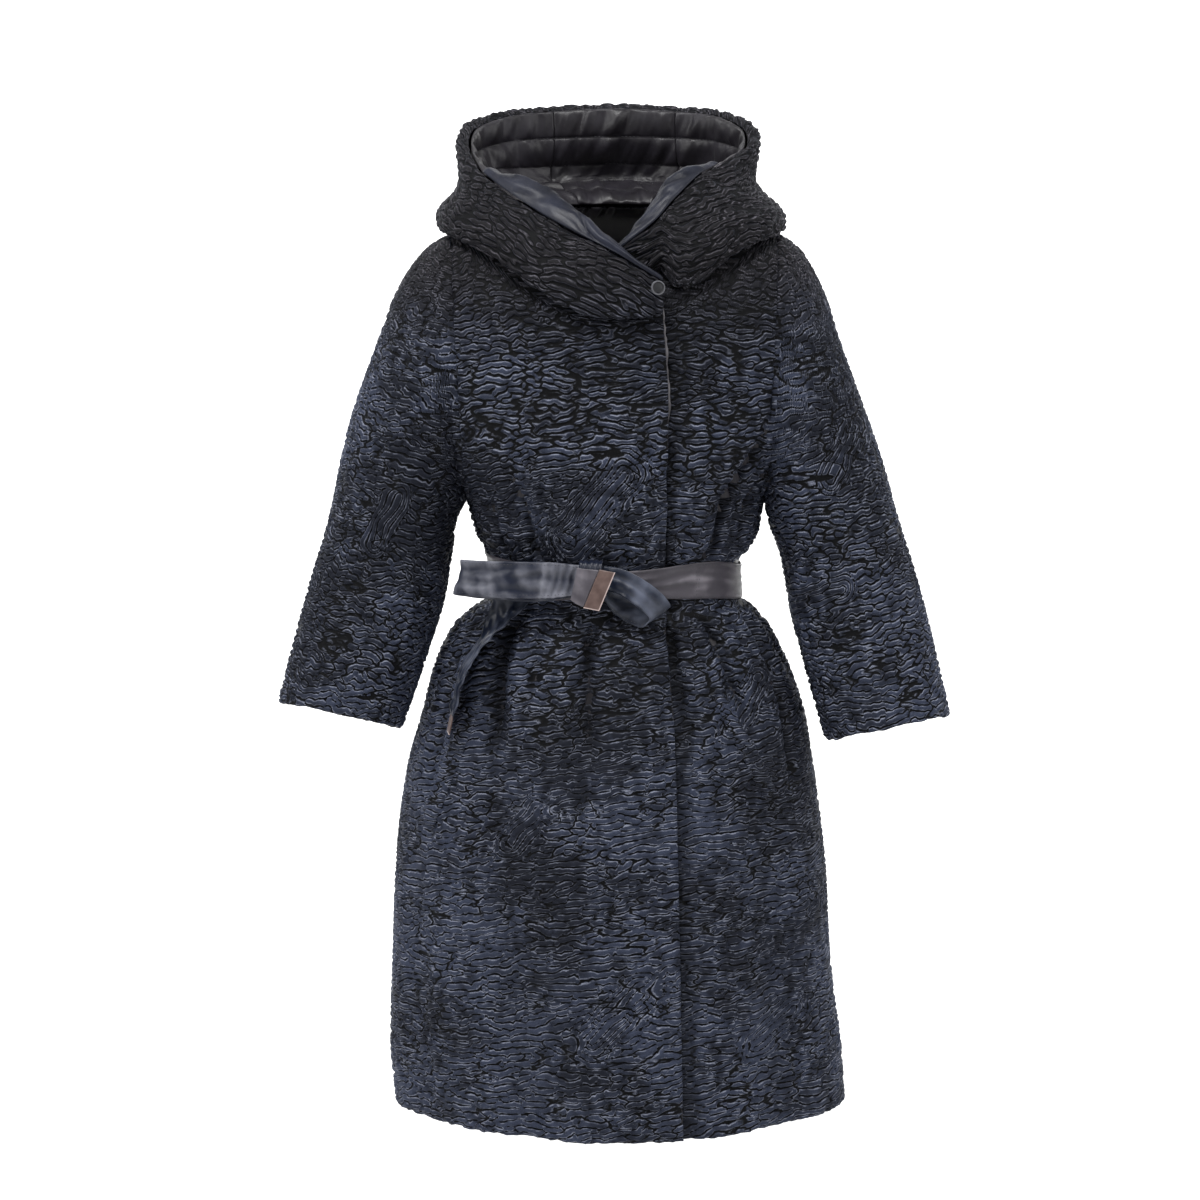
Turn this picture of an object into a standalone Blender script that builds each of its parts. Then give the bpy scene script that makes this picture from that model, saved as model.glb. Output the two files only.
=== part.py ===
"""Knee-length hooded wrap coat in crimped pile cloth, held in its worn, hollow form.

Metres. +Z is up, the front faces -Y and the wearer's left side is on +X. The origin is the
middle of the yoke between the two shoulders, at the height of the neck seam, which is where
a wearer's shoulders hold the coat up.

Every cloth piece is a grid of points worked out from the tables below, given its wall by
Solidify, which grows inwards from the outer face.
"""
import math

import bmesh
import bpy
import numpy as np
from mathutils import Vector

# --- Driving dimensions -------------------------------------------------------------------
PILE_WALL = 0.003        # pile cloth with its backing
SATIN_WALL = 0.0015      # satin facings, and the hood lining where it is stitched down
QUILT_PUFF = 0.0045      # the padded lining's full thickness between two stitched lines
QUILT_CHANNELS = 5       # stitched channels that run round the inside of the hood
BELT_WALL = 0.0016       # satin belt, two layers pressed flat
SEAM_GAP = 0.0004        # between pieces that are sewn together
HEM_LEVEL = -0.957
NECK_LEVEL = 0.060
LAP_DROP = 0.0075        # how far the under front lies inside the top front
EDGE_ANGLE_UNDER = -26.0  # degrees: where the under front ends, past the centre front
SIDE_SEAM = 96.0         # degrees from the centre front
ARMHOLE_TOP_X = 0.168
ARMHOLE_BOTTOM_X = 0.1575
ARMHOLE_TOP_Z = -0.011
ARMHOLE_BOTTOM_Z = -0.288
WAIST_TOP, WAIST_BOTTOM = -0.352, -0.402   # no fold crosses this band: the belt lies on it


def table(columns, *rows):
    """Rows of numbers under named columns, as one array for each name."""
    names = columns.split()
    values = np.array(rows, float).T
    return dict(zip(names, values))


# The coat's outer face, ring by ring. A ring is a rounded box: half widths to the wearer's
# right and left, depths to the front and the back. Over the shoulders a ring also tips: its
# sides, its front and its back then have heights of their own.
BODY = table(
    "level  right  left   front  back   square side_z  front_z back_z",
    (-0.957, 0.2395, 0.2515, 0.147, 0.156, 1.65, -0.957, -0.957, -0.957),
    (-0.889, 0.2450, 0.2465, 0.147, 0.156, 1.75, -0.889, -0.889, -0.889),
    (-0.840, 0.2435, 0.2395, 0.147, 0.155, 1.85, -0.840, -0.840, -0.840),
    (-0.787, 0.2410, 0.2330, 0.146, 0.154, 1.95, -0.787, -0.787, -0.787),
    (-0.687, 0.2365, 0.2270, 0.144, 0.152, 2.05, -0.687, -0.687, -0.687),
    (-0.587, 0.2240, 0.2140, 0.141, 0.147, 2.15, -0.587, -0.587, -0.587),
    (-0.520, 0.2060, 0.2025, 0.136, 0.140, 2.20, -0.520, -0.520, -0.520),
    (-0.470, 0.1930, 0.1860, 0.130, 0.131, 2.20, -0.470, -0.470, -0.470),
    (-0.430, 0.1740, 0.1660, 0.121, 0.118, 2.20, -0.430, -0.430, -0.430),
    (-0.408, 0.1500, 0.1470, 0.112, 0.106, 2.20, -0.408, -0.408, -0.408),
    (-0.397, 0.1360, 0.1335, 0.106, 0.101, 2.20, -0.397, -0.397, -0.397),
    (-0.358, 0.1345, 0.1325, 0.105, 0.100, 2.20, -0.358, -0.358, -0.358),
    (-0.342, 0.1390, 0.1430, 0.111, 0.106, 2.20, -0.342, -0.342, -0.342),
    (-0.325, 0.1480, 0.1520, 0.117, 0.112, 2.25, -0.325, -0.325, -0.325),
    (-0.290, 0.1575, 0.1575, 0.123, 0.119, 2.30, -0.290, -0.290, -0.290),
    (-0.250, 0.1850, 0.1850, 0.126, 0.124, 2.30, -0.250, -0.252, -0.250),
    (-0.200, 0.2120, 0.2120, 0.128, 0.128, 2.30, -0.200, -0.212, -0.202),
    (-0.100, 0.2260, 0.2260, 0.128, 0.131, 2.30, -0.100, -0.145, -0.112),
    (-0.050, 0.2200, 0.2200, 0.127, 0.129, 2.30, -0.057, -0.122, -0.074),
    (0.000, 0.1900, 0.1900, 0.125, 0.123, 2.25, -0.021, -0.104, -0.036),
    (0.020, 0.1680, 0.1680, 0.123, 0.115, 2.20, -0.011, -0.097, -0.019),
    (0.040, 0.1330, 0.1330, 0.120, 0.099, 2.10, 0.004, -0.089, 0.000),
    (0.060, 0.0980, 0.0980, 0.116, 0.080, 2.00, 0.014, -0.081, 0.016),
)

# The largest soft folds: a trough of this depth along a line on the rings.
FOLDS = table(
    "top_z  top_angle bottom_z bottom_angle half_width depth",
    (-0.225, 46, -0.345, 42, 5.0, 0.0085),
    (-0.200, 62, -0.330, 58, 4.5, 0.0060),
    (-0.270, 15, -0.345, 17, 3.5, 0.0040),
    (-0.270, -34, -0.345, -33, 4.5, 0.0060),
    (-0.300, -12, -0.345, -11, 3.0, 0.0030),
    (-0.408, -42, -0.520, -35, 6.0, 0.0120),
    (-0.408, -8, -0.530, -6, 4.0, 0.0070),
    (-0.408, 37, -0.500, 41, 4.5, 0.0080),
    (-0.410, 66, -0.560, 62, 5.0, 0.0070),
    (-0.412, -66, -0.560, -60, 5.0, 0.0060),
    (-0.235, 128, -0.345, 134, 5.0, 0.0070),
    (-0.200, -126, -0.345, -130, 5.0, 0.0070),
    (-0.260, 160, -0.345, 158, 4.0, 0.0050),
    (-0.250, -164, -0.345, -160, 4.0, 0.0055),
    (-0.408, 118, -0.560, 124, 5.0, 0.0080),
    (-0.408, -120, -0.540, -124, 5.0, 0.0075),
    (-0.408, 149, -0.520, 146, 4.5, 0.0080),
    (-0.408, -151, -0.530, -147, 4.5, 0.0080),
    (-0.408, 178, -0.500, 178, 4.0, 0.0060),
)

# The free edge of the top front: where it lies across the body, by height.
TOP_EDGE = table(
    "z      x",
    (-0.960, 0.0725),
    (-0.690, 0.0665),
    (-0.500, 0.0610),
    (-0.410, 0.0545),
    (-0.350, 0.0520),
    (-0.280, 0.0540),
    (-0.190, 0.0545),
    (-0.100, 0.0490),
    (-0.060, 0.0450),
)

# One sleeve, from just outside the armhole to the cuff: its outer line and its underarm
# line as seen from the front, how deep it is and how far its rings lean back from upright.
# The right arm is held a little further out: the last two columns give by how much.
SLEEVE = table(
    "run   outer_x outer_z inner_x inner_z depth  middle_y lean right_outer right_inner",
    (0.06, 0.1950, -0.0300, 0.1590, -0.2915, 0.097, 0.004, 0.0, 0.0040, 0.0000),
    (0.14, 0.2170, -0.0680, 0.1600, -0.2970, 0.099, 0.003, 0.0, 0.0090, 0.0000),
    (0.26, 0.2410, -0.1370, 0.1620, -0.3050, 0.096, 0.001, 0.0, 0.0120, 0.0020),
    (0.38, 0.2640, -0.1980, 0.1650, -0.3180, 0.090, -0.002, 1.0, 0.0105, 0.0040),
    (0.50, 0.2860, -0.2620, 0.1710, -0.3350, 0.083, -0.006, 2.0, 0.0050, 0.0010),
    (0.60, 0.3000, -0.3130, 0.1780, -0.3540, 0.077, -0.010, 4.0, 0.0010, -0.0040),
    (0.72, 0.3160, -0.3620, 0.1850, -0.3970, 0.072, -0.016, 7.0, -0.0010, -0.0050),
    (0.86, 0.3350, -0.4330, 0.2020, -0.4650, 0.068, -0.026, 10.0, 0.0000, -0.0020),
    (1.00, 0.3545, -0.5180, 0.2250, -0.5460, 0.066, -0.042, 12.0, 0.0020, 0.0020),
)
RIGHT_CUFF_LIFT = 0.014

# The hood's pile wall, section by section round the neck. turn is measured from the centre
# front towards the wearer's right. The wall rises from the neck seam, rolls over the
# shoulders, creases and ends at the face edge.
HOOD = table(
    "turn  roll_r  roll_z  bulge_r bulge_z crease_r crease_z edge_r edge_z",
    (-20, 0.1400, -0.090, 0.1450, -0.080, 0.1460, -0.068, 0.1420, -0.057),
    (0, 0.1370, -0.094, 0.1430, -0.072, 0.1380, -0.048, 0.1270, -0.029),
    (21, 0.1390, -0.083, 0.1450, -0.058, 0.1370, -0.032, 0.1240, -0.007),
    (40, 0.1480, -0.054, 0.1540, -0.034, 0.1440, -0.010, 0.1260, 0.013),
    (57, 0.1620, -0.027, 0.1670, -0.009, 0.1560, 0.011, 0.1330, 0.032),
    (78, 0.1810, -0.010, 0.1830, 0.003, 0.1660, 0.029, 0.1480, 0.058),
    (97, 0.1870, -0.004, 0.1895, 0.006, 0.1650, 0.040, 0.1640, 0.083),
    (115, 0.1860, -0.016, 0.1970, -0.002, 0.1740, 0.046, 0.1720, 0.104),
    (138, 0.1780, -0.058, 0.2050, -0.030, 0.1880, 0.048, 0.1580, 0.119),
    (180, 0.1640, -0.092, 0.2080, -0.062, 0.1820, 0.056, 0.1300, 0.125),
    (222, 0.1760, -0.058, 0.2010, -0.030, 0.1840, 0.048, 0.1540, 0.119),
    (245, 0.1820, -0.016, 0.1910, -0.002, 0.1620, 0.046, 0.1580, 0.104),
    (262, 0.1800, -0.004, 0.1805, 0.006, 0.1500, 0.040, 0.1490, 0.084),
    (286, 0.1740, -0.012, 0.1750, 0.003, 0.1430, 0.032, 0.1140, 0.061),
    (306, 0.1590, -0.026, 0.1610, -0.006, 0.1350, 0.021, 0.1050, 0.047),
    (326, 0.1420, -0.048, 0.1470, -0.029, 0.1320, -0.003, 0.1080, 0.024),
    (331, 0.1300, -0.063, 0.1350, -0.045, 0.1280, -0.015, 0.1085, 0.015),
    (335.5, 0.1115, -0.044, 0.1160, -0.037, 0.1160, -0.021, 0.1080, 0.006),
    (352, 0.1070, -0.065, 0.1080, -0.055, 0.1080, -0.040, 0.1060, -0.018),
    (366, 0.1055, -0.070, 0.1060, -0.062, 0.1050, -0.050, 0.1030, -0.037),
)
TUCK_START, TUCK_END = 327.0, 335.0   # where the wearer's left end of the hood dips inwards
TUCK_COLUMNS = (331.0, 335.5)         # extra columns where it bends sharply
HOOD_RIGHT_END, HOOD_LEFT_END = -20.0, 366.0
HOOD_SEAMS = (150.6, 209.4)           # between the hood's sides and its centre strip
TURN_IN = 0.009                       # how far the pile turns in over the face edge
FACING_ENDS = (73.0, 287.0)           # where the satin facings meet the quilted lining

# The satin facings: how far inwards and up their crest lies from the hood's face edge.
FACING = table(
    "turn  crest_in crest_up",
    (-20, 0.004, 0.002),
    (0, 0.011, 0.010),
    (21, 0.019, 0.020),
    (40, 0.025, 0.023),
    (57, 0.020, 0.017),
    (73, 0.012, 0.004),
    (287, 0.014, 0.000),
    (306, 0.018, 0.009),
    (328, 0.022, 0.014),
    (338, 0.019, 0.012),
    (352, 0.010, 0.007),
    (366, 0.005, 0.004),
)

# The belt's upper and lower edges round the waist.
BELT = table(
    "angle top_z   bottom_z",
    (-180, -0.358, -0.398),
    (-90, -0.3465, -0.3865),
    (-40, -0.350, -0.388),
    (0, -0.3555, -0.3840),
    (40, -0.349, -0.387),
    (90, -0.360, -0.397),
    (180, -0.358, -0.398),
)

# The tied ribbons: the middle line of each, the direction of its width and the width.
RIBBONS = {
    "belt_loop_left": table(
        "x       y       z       across_x across_y across_z width",
        (-0.0340, -0.1215, -0.3615, 0.00, 0.0, 1.00, 0.030),
        (-0.0750, -0.1265, -0.3610, 0.00, 0.0, 1.00, 0.037),
        (-0.1150, -0.1195, -0.3620, 0.05, 0.0, 1.00, 0.038),
        (-0.1480, -0.1000, -0.3630, 0.15, 0.0, 0.98, 0.038),
        (-0.1625, -0.0870, -0.3640, 0.25, 0.0, 0.97, 0.038),
        (-0.1560, -0.0800, -0.3660, 0.20, 0.0, 0.98, 0.038),
        (-0.1300, -0.0885, -0.3675, 0.10, 0.0, 1.00, 0.038),
        (-0.1000, -0.0990, -0.3685, 0.00, 0.0, 1.00, 0.038),
        (-0.0700, -0.1090, -0.3690, 0.00, 0.0, 1.00, 0.034),
        (-0.0420, -0.1140, -0.3660, 0.00, 0.0, 1.00, 0.028),
    ),
    "belt_loop_right": table(
        "x       y       z       across_x across_y across_z width",
        (-0.0130, -0.1210, -0.3600, 0.10, 0.0, 1.00, 0.024),
        (0.0050, -0.1270, -0.3630, 0.15, 0.0, 1.00, 0.026),
        (0.0260, -0.1320, -0.3745, 0.40, 0.0, 0.92, 0.027),
        (0.0410, -0.1300, -0.3870, 0.70, 0.1, 0.70, 0.027),
        (0.0465, -0.1250, -0.3960, 0.85, 0.2, 0.50, 0.026),
        (0.0390, -0.1210, -0.4010, 0.60, 0.3, 0.75, 0.026),
        (0.0230, -0.1175, -0.3970, 0.40, 0.3, 0.90, 0.026),
        (0.0040, -0.1140, -0.3870, 0.20, 0.2, 0.97, 0.026),
        (-0.0140, -0.1130, -0.3700, 0.10, 0.1, 1.00, 0.018),
    ),
    "belt_tail": table(
        "x       y       z       across_x across_y across_z width",
        (-0.0480, -0.1085, -0.3660, 0.00, 0.0, -1.00, 0.026),
        (-0.0800, -0.0990, -0.3700, 0.30, -0.05, -0.95, 0.034),
        (-0.1040, -0.0890, -0.3820, 0.85, -0.10, -0.50, 0.040),
        (-0.1115, -0.0880, -0.3960, 1.00, -0.10, 0.00, 0.040),
        (-0.1230, -0.0920, -0.4130, 0.75, -0.62, 0.20, 0.040),
        (-0.1405, -0.0980, -0.4320, 0.38, -0.90, 0.20, 0.040),
        (-0.1520, -0.1010, -0.4490, 0.25, -0.95, 0.15, 0.040),
        (-0.1590, -0.1030, -0.4660, 0.17, -0.97, 0.10, 0.040),
        (-0.1650, -0.1040, -0.4880, 0.10, -0.98, 0.10, 0.040),
        (-0.1695, -0.1045, -0.5060, 0.10, -0.98, 0.10, 0.040),
    ),
    "belt_tail_leather": table(
        "x       y       z       across_x across_y across_z width",
        (-0.1697, -0.1045, -0.5066, 0.10, -0.98, 0.10, 0.041),
        (-0.1715, -0.1050, -0.5160, 0.10, -0.98, 0.10, 0.041),
        (-0.1735, -0.1055, -0.5250, 0.10, -0.98, 0.10, 0.041),
    ),
    "belt_short_end": table(
        "x       y       z       across_x across_y across_z width",
        (-0.0420, -0.1290, -0.3650, 0.20, 0.0, 0.97, 0.034),
        (-0.0340, -0.1325, -0.3670, 0.30, 0.0, 0.95, 0.038),
        (-0.0245, -0.1350, -0.3690, 0.38, 0.0, 0.92, 0.041),
    ),
    "belt_short_end_leather": table(
        "x       y       z       across_x across_y across_z width",
        (-0.0240, -0.1351, -0.3691, 0.38, 0.0, 0.92, 0.043),
        (-0.0160, -0.1362, -0.3705, 0.38, 0.0, 0.92, 0.043),
        (-0.0080, -0.1368, -0.3720, 0.38, 0.0, 0.92, 0.043),
    ),
}
KNOT_X = (-0.0370, -0.0130)           # the wrap that holds the loops
KNOT_Y = (-0.1290, -0.1076)
KNOT_Z = (-0.3850, -0.3430)

# The pocket mouths: where each slanted welt starts and ends on its front.
POCKETS = table(
    "side top_x  top_z  bottom_x bottom_z",
    (-1, -0.146, -0.492, -0.199, -0.630),
    (1, 0.108, -0.482, 0.164, -0.596),
)
WELT_WIDTH = 0.018
SNAP_TURN, SNAP_Z = -17.3, -0.0640


def smooth_through(table_, key, by, at):
    """A value between the rows of a table, on a curve that never overshoots them."""
    x, y = table_[by], table_[key]
    if x[0] > x[-1]:
        x, y = x[::-1], y[::-1]
    at = np.clip(np.asarray(at, float), x[0], x[-1])
    step = np.diff(x)
    slope = np.diff(y) / step
    tangent = np.zeros_like(y)
    both = slope[:-1] * slope[1:] > 0
    tangent[1:-1][both] = 2 * slope[:-1][both] * slope[1:][both] / (slope[:-1] + slope[1:])[both]
    tangent[0], tangent[-1] = slope[0], slope[-1]
    i = np.clip(np.searchsorted(x, at, side="right") - 1, 0, len(step) - 1)
    t = (at - x[i]) / step[i]
    return (
        y[i] * (1 + 2 * t) * (1 - t) ** 2
        + tangent[i] * step[i] * t * (1 - t) ** 2
        + y[i + 1] * t * t * (3 - 2 * t)
        + tangent[i + 1] * step[i] * t * t * (t - 1)
    )


def ease(low, high, at):
    """0 below low, 1 above high, and a soft step between them."""
    t = np.clip((np.asarray(at, float) - low) / (high - low), 0, 1)
    return t * t * (3 - 2 * t)


def columns_between(start, stop, count, extra=(), near=1.0):
    """Evenly spaced angles, with one more close to each end so that the wall ends square."""
    inner = np.linspace(start, stop, count - 2)
    return np.sort(np.concatenate([inner, [start + near, stop - near], extra]))


def fold_depth(angle, level):
    """How far the folds push the outer face in at this place."""
    depth = np.zeros(np.broadcast(angle, level).shape)
    for top_z, top_a, low_z, low_a, width, deep in zip(*FOLDS.values()):
        along = np.clip((top_z - level) / (top_z - low_z), 0, 1)
        away = (angle - (top_a + (low_a - top_a) * along) + 180) % 360 - 180
        ends = ease(low_z - 0.05, low_z + 0.02, level) * (1 - ease(top_z - 0.02, top_z + 0.05, level))
        depth += deep * np.exp(-((away / width) ** 2)) * ends
    belt = ease(WAIST_BOTTOM - 0.016, WAIST_BOTTOM, level) * (
        1 - ease(WAIST_TOP, WAIST_TOP + 0.016, level)
    )
    return depth * (1 - belt)


def body_point(angle, level, inset=0.0, folds=True):
    """The coat's outer face at an angle from the centre front (+ towards +X) and a level."""
    angle, level = np.broadcast_arrays(np.asarray(angle, float), np.asarray(level, float))
    sine, cosine = np.sin(np.radians(angle)), np.cos(np.radians(angle))
    width = np.where(
        sine < 0,
        smooth_through(BODY, "right", "level", level),
        smooth_through(BODY, "left", "level", level),
    )
    deep = np.where(
        cosine > 0,
        smooth_through(BODY, "front", "level", level),
        smooth_through(BODY, "back", "level", level),
    )
    power = 2 / smooth_through(BODY, "square", "level", level)
    x = width * np.sign(sine) * np.abs(sine) ** power
    y = -deep * np.sign(cosine) * np.abs(cosine) ** power
    side_z = smooth_through(BODY, "side_z", "level", level)
    tip = np.where(
        cosine > 0,
        smooth_through(BODY, "front_z", "level", level),
        smooth_through(BODY, "back_z", "level", level),
    )
    z = side_z + (tip - side_z) * np.abs(cosine) ** 3
    inwards = np.asarray(inset, float) + (fold_depth(angle, level) if folds else 0.0)
    out_x, out_y = x / width**2, y / deep**2
    length = np.hypot(out_x, out_y)
    return np.stack([x - inwards * out_x / length, y - inwards * out_y / length, z], -1)


def body_normal(angle, level):
    """The direction that the outer face looks in, without its folds."""
    small_angle, small_level = 0.2, 0.0005
    across = body_point(angle + small_angle, level, folds=False) - body_point(
        angle - small_angle, level, folds=False
    )
    up = body_point(angle, level + small_level, folds=False) - body_point(
        angle, level - small_level, folds=False
    )
    normal = np.cross(across, up)
    return normal / np.linalg.norm(normal, axis=-1, keepdims=True)


def angle_at_x(x, level):
    """The angle on the front half of a ring where it passes this x."""
    side = np.where(np.asarray(x) < 0, "right", "left")
    width = np.where(
        side == "right",
        smooth_through(BODY, "right", "level", level),
        smooth_through(BODY, "left", "level", level),
    )
    share = np.clip(np.abs(x) / width, 0, 1)
    turned = np.degrees(np.arcsin(share ** (smooth_through(BODY, "square", "level", level) / 2)))
    return np.sign(x) * turned


# --- Armholes -----------------------------------------------------------------------------
def armhole_x(level):
    """The armhole lies in a plane that leans a little: narrower at the underarm."""
    share = np.clip((level - ARMHOLE_BOTTOM_Z) / (ARMHOLE_TOP_Z - ARMHOLE_BOTTOM_Z), 0, 1)
    return ARMHOLE_BOTTOM_X + (ARMHOLE_TOP_X - ARMHOLE_BOTTOM_X) * share


def armhole_ends(side):
    """The levels where the body's face passes through the armhole's plane."""

    def crossing(inside, outside):
        for _ in range(60):
            middle = (inside + outside) / 2
            if smooth_through(BODY, side, "level", middle) > armhole_x(middle):
                inside = middle
            else:
                outside = middle
        return (inside + outside) / 2

    return crossing(-0.15, -0.33), crossing(-0.15, 0.05)


ARMHOLE = {side: armhole_ends(side) for side in ("right", "left")}
SIGN = {"right": -1.0, "left": 1.0}   # the wearer's right is on -X


def armhole_level(side, turn):
    """Level of the armhole's rim at a turn in radians: 0 at the shoulder, pi at the underarm."""
    low, high = ARMHOLE[side]
    return (low + high) / 2 + (high - low) / 2 * np.cos(turn)


def armhole_angle(side, level, front):
    """Angle from the centre front at which a ring meets the armhole, on one half of it."""
    width = smooth_through(BODY, side, "level", level)
    share = np.clip(armhole_x(level) / width, 0, 1)
    turned = np.degrees(np.arcsin(share ** (smooth_through(BODY, "square", "level", level) / 2)))
    return turned if front else 180 - turned


def side_angle(side, level, front):
    """Where a front or back panel ends at its side: seam, armhole, then shoulder seam."""
    low, high = ARMHOLE[side]
    seam = 90 + (SIDE_SEAM - 90) * (1 - ease(low - 0.12, low - 0.01, level))
    if low < level < high:
        seam = armhole_angle(side, level, front)
    half_gap = math.degrees(SEAM_GAP / 2 / 0.14)
    return seam - half_gap if front else seam + half_gap


def panel_levels(skirt_rows=7, waist_rows=9, arm_rows=9, shoulder_rows=3):
    """The rows of every body panel, closer at the waist and at the armhole's two ends."""
    low = max(ARMHOLE["right"][0], ARMHOLE["left"][0])
    high = min(ARMHOLE["right"][1], ARMHOLE["left"][1])
    skirt = np.linspace(HEM_LEVEL, -0.440, skirt_rows, endpoint=False)
    waist = np.concatenate([
        np.array([-0.440, -0.420, -0.407, WAIST_BOTTOM + 0.004, WAIST_TOP - 0.004, -0.343]),
        np.linspace(-0.328, low - 0.004, waist_rows - 6),
    ])
    turn = np.linspace(math.pi, 0, arm_rows + 2)
    arm = (low + high) / 2 + (high - low) / 2 * np.cos(turn)
    arm[0] += 0.0006
    arm[-1] -= 0.0006
    shoulder = np.linspace(high + 0.004, NECK_LEVEL, shoulder_rows)
    return np.concatenate([skirt, waist, arm, shoulder])


# --- Building blocks ----------------------------------------------------------------------
def material(name, colour, roughness, metallic=0.0):
    made = bpy.data.materials.new(name)
    made.use_nodes = True
    shader = made.node_tree.nodes["Principled BSDF"]
    shader.inputs["Base Color"].default_value = (*colour, 1.0)
    shader.inputs["Roughness"].default_value = roughness
    shader.inputs["Metallic"].default_value = metallic
    return made


def sheet_mesh(points, closed, inside):
    """A grid of points as quads that face away from the point inside."""
    made = bmesh.new()
    corners = [[made.verts.new(point) for point in row] for row in points]
    columns = len(corners[0])
    spans = columns if closed else columns - 1
    for lower, upper in zip(corners, corners[1:]):
        for j in range(spans):
            k = (j + 1) % columns
            made.faces.new((lower[j], lower[k], upper[k], upper[j]))
    made.normal_update()
    centre = Vector(inside)
    outward = sum(
        face.normal.dot(face.calc_center_median() - centre) * face.calc_area()
        for face in made.faces
    )
    if outward < 0:
        bmesh.ops.reverse_faces(made, faces=made.faces)
    return made


def cloth(name, points, wall, finish, inside=(0, 0, -0.4), closed=False, middle=False):
    """One piece of cloth: a grid of points with a wall that grows inwards."""
    grid = sheet_mesh(np.asarray(points), closed, inside)
    mesh = bpy.data.meshes.new(name)
    grid.to_mesh(mesh)
    grid.free()
    mesh.shade_smooth()
    mesh.materials.append(finish)
    piece = bpy.data.objects.new(name, mesh)
    COAT.objects.link(piece)
    solid = piece.modifiers.new("wall", "SOLIDIFY")
    solid.thickness = wall
    solid.offset = 0 if middle else -1
    return piece


def clear_scene():
    for obj in list(bpy.data.objects):
        bpy.data.objects.remove(obj, do_unlink=True)


# --- Body panels --------------------------------------------------------------------------
def back_panel(finish, columns=22):
    rows = []
    for level in panel_levels():
        start = side_angle("left", level, front=False)
        stop = 360 - side_angle("right", level, front=False)
        rows.append(body_point(columns_between(start, stop, columns), level))
    return cloth("back", rows, PILE_WALL, finish)


def front_right_panel(finish, columns=19):
    """The top front: from the wearer's right side seam across to its free edge."""
    rows, kept = [], []
    levels = panel_levels()
    for level in levels:
        start = -side_angle("right", level, front=True)
        z = min(body_point(0, level)[2], -0.06)
        stop = angle_at_x(smooth_through(TOP_EDGE, "x", "z", z), level)
        kept.append(columns_between(start, stop, columns))
        rows.append(body_point(kept[-1], level))
    cloth("front_right", rows, PILE_WALL, finish)
    return kept, levels, rows


def front_left_panel(finish, columns=17):
    """The under front: from the wearer's left side seam to well under the top front."""
    rows, kept = [], []
    levels = panel_levels()
    for level in levels:
        stop = side_angle("left", level, front=True)
        z = min(body_point(0, level)[2], -0.06)
        edge = angle_at_x(smooth_through(TOP_EDGE, "x", "z", z), level)
        shown = np.linspace(edge + 2.5, stop, columns - 7)
        shown = np.insert(shown, -1, stop - 1.0)
        under = np.linspace(EDGE_ANGLE_UNDER, edge - 0.5, 6)
        angles = np.concatenate([under, shown])
        inset = LAP_DROP * (1 - ease(edge - 0.5, edge + 9.0, angles))
        kept.append(angles)
        rows.append(body_point(angles, level, inset))
    cloth("front_left", rows, PILE_WALL, finish)
    return kept, levels, rows


# --- Sleeves ------------------------------------------------------------------------------
def sleeve(side, finish, around=20, stations=10):
    """A tube from the armhole's rim to the cuff. Its first rings carry on the body's face."""
    sign = SIGN[side]
    turns = np.linspace(0, 2 * math.pi, around, endpoint=False)
    rim, leave = [], []
    for turn in turns:
        level = armhole_level(side, turn)
        front = turn < math.pi
        angle = sign * armhole_angle(side, level, front)
        point = body_point(angle, level)
        normal = body_normal(angle, level)
        outwards = np.array([sign, 0.0, 0.0])
        outwards = outwards - outwards.dot(normal) * normal
        rim.append(point)
        leave.append(outwards / np.linalg.norm(outwards))
    rim, leave = np.array(rim), np.array(leave)
    rows = [rim + leave * SEAM_GAP * 1.75, rim + leave * 0.0038]
    power = 2 / 2.15
    for run in np.linspace(SLEEVE["run"][0], 1, stations):
        value = {key: smooth_through(SLEEVE, key, "run", run) for key in SLEEVE}
        right = 1.0 if side == "right" else 0.0
        lift = right * RIGHT_CUFF_LIFT * run
        outer_x = value["outer_x"] + right * value["right_outer"]
        inner_x = value["inner_x"] + right * value["right_inner"]
        outer = np.array([sign * outer_x, 0, value["outer_z"] + lift])
        inner = np.array([sign * inner_x, 0, value["inner_z"] + lift])
        centre = (outer + inner) / 2 + np.array([0, value["middle_y"], 0])
        half = (outer - inner) / 2
        lean = math.radians(value["lean"])
        forward = value["depth"] * np.array([0, -math.cos(lean), math.sin(lean)])
        cosine, sine = np.cos(turns), np.sin(turns)
        along = (np.sign(cosine) * np.abs(cosine) ** power)[:, None] * half
        deep = (np.sign(sine) * np.abs(sine) ** power)[:, None] * forward
        rows.append(centre + along + deep)
    rows = np.array(rows)
    return cloth(
        f"sleeve_{side}", rows, PILE_WALL, finish, inside=rows.mean(axis=(0, 1)), closed=True
    )


# --- Hood ---------------------------------------------------------------------------------
def polar(turn, radius, z):
    """A point round the neck: turn 0 is the centre front, 90 the wearer's right side."""
    turn = np.radians(turn)
    return np.array([-radius * np.sin(turn), -radius * np.cos(turn), z])


def ring_angle(turn, level):
    """The body's own angle for the direction turn, on the ring at this level."""
    turn = (turn + 180) % 360 - 180
    side = "right" if turn > 0 else "left"
    deep = "front" if abs(turn) < 90 else "back"
    ratio = smooth_through(BODY, deep, "level", level) / smooth_through(BODY, side, "level", level)
    half = abs(turn) if abs(turn) < 90 else 180 - abs(turn)
    if half > 89.9:
        angle = 90.0
    else:
        square = smooth_through(BODY, "square", "level", level)
        angle = math.degrees(math.atan((math.tan(math.radians(half)) * ratio) ** (square / 2)))
    if abs(turn) >= 90:
        angle = 180 - angle
    return -math.copysign(angle, turn)


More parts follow.
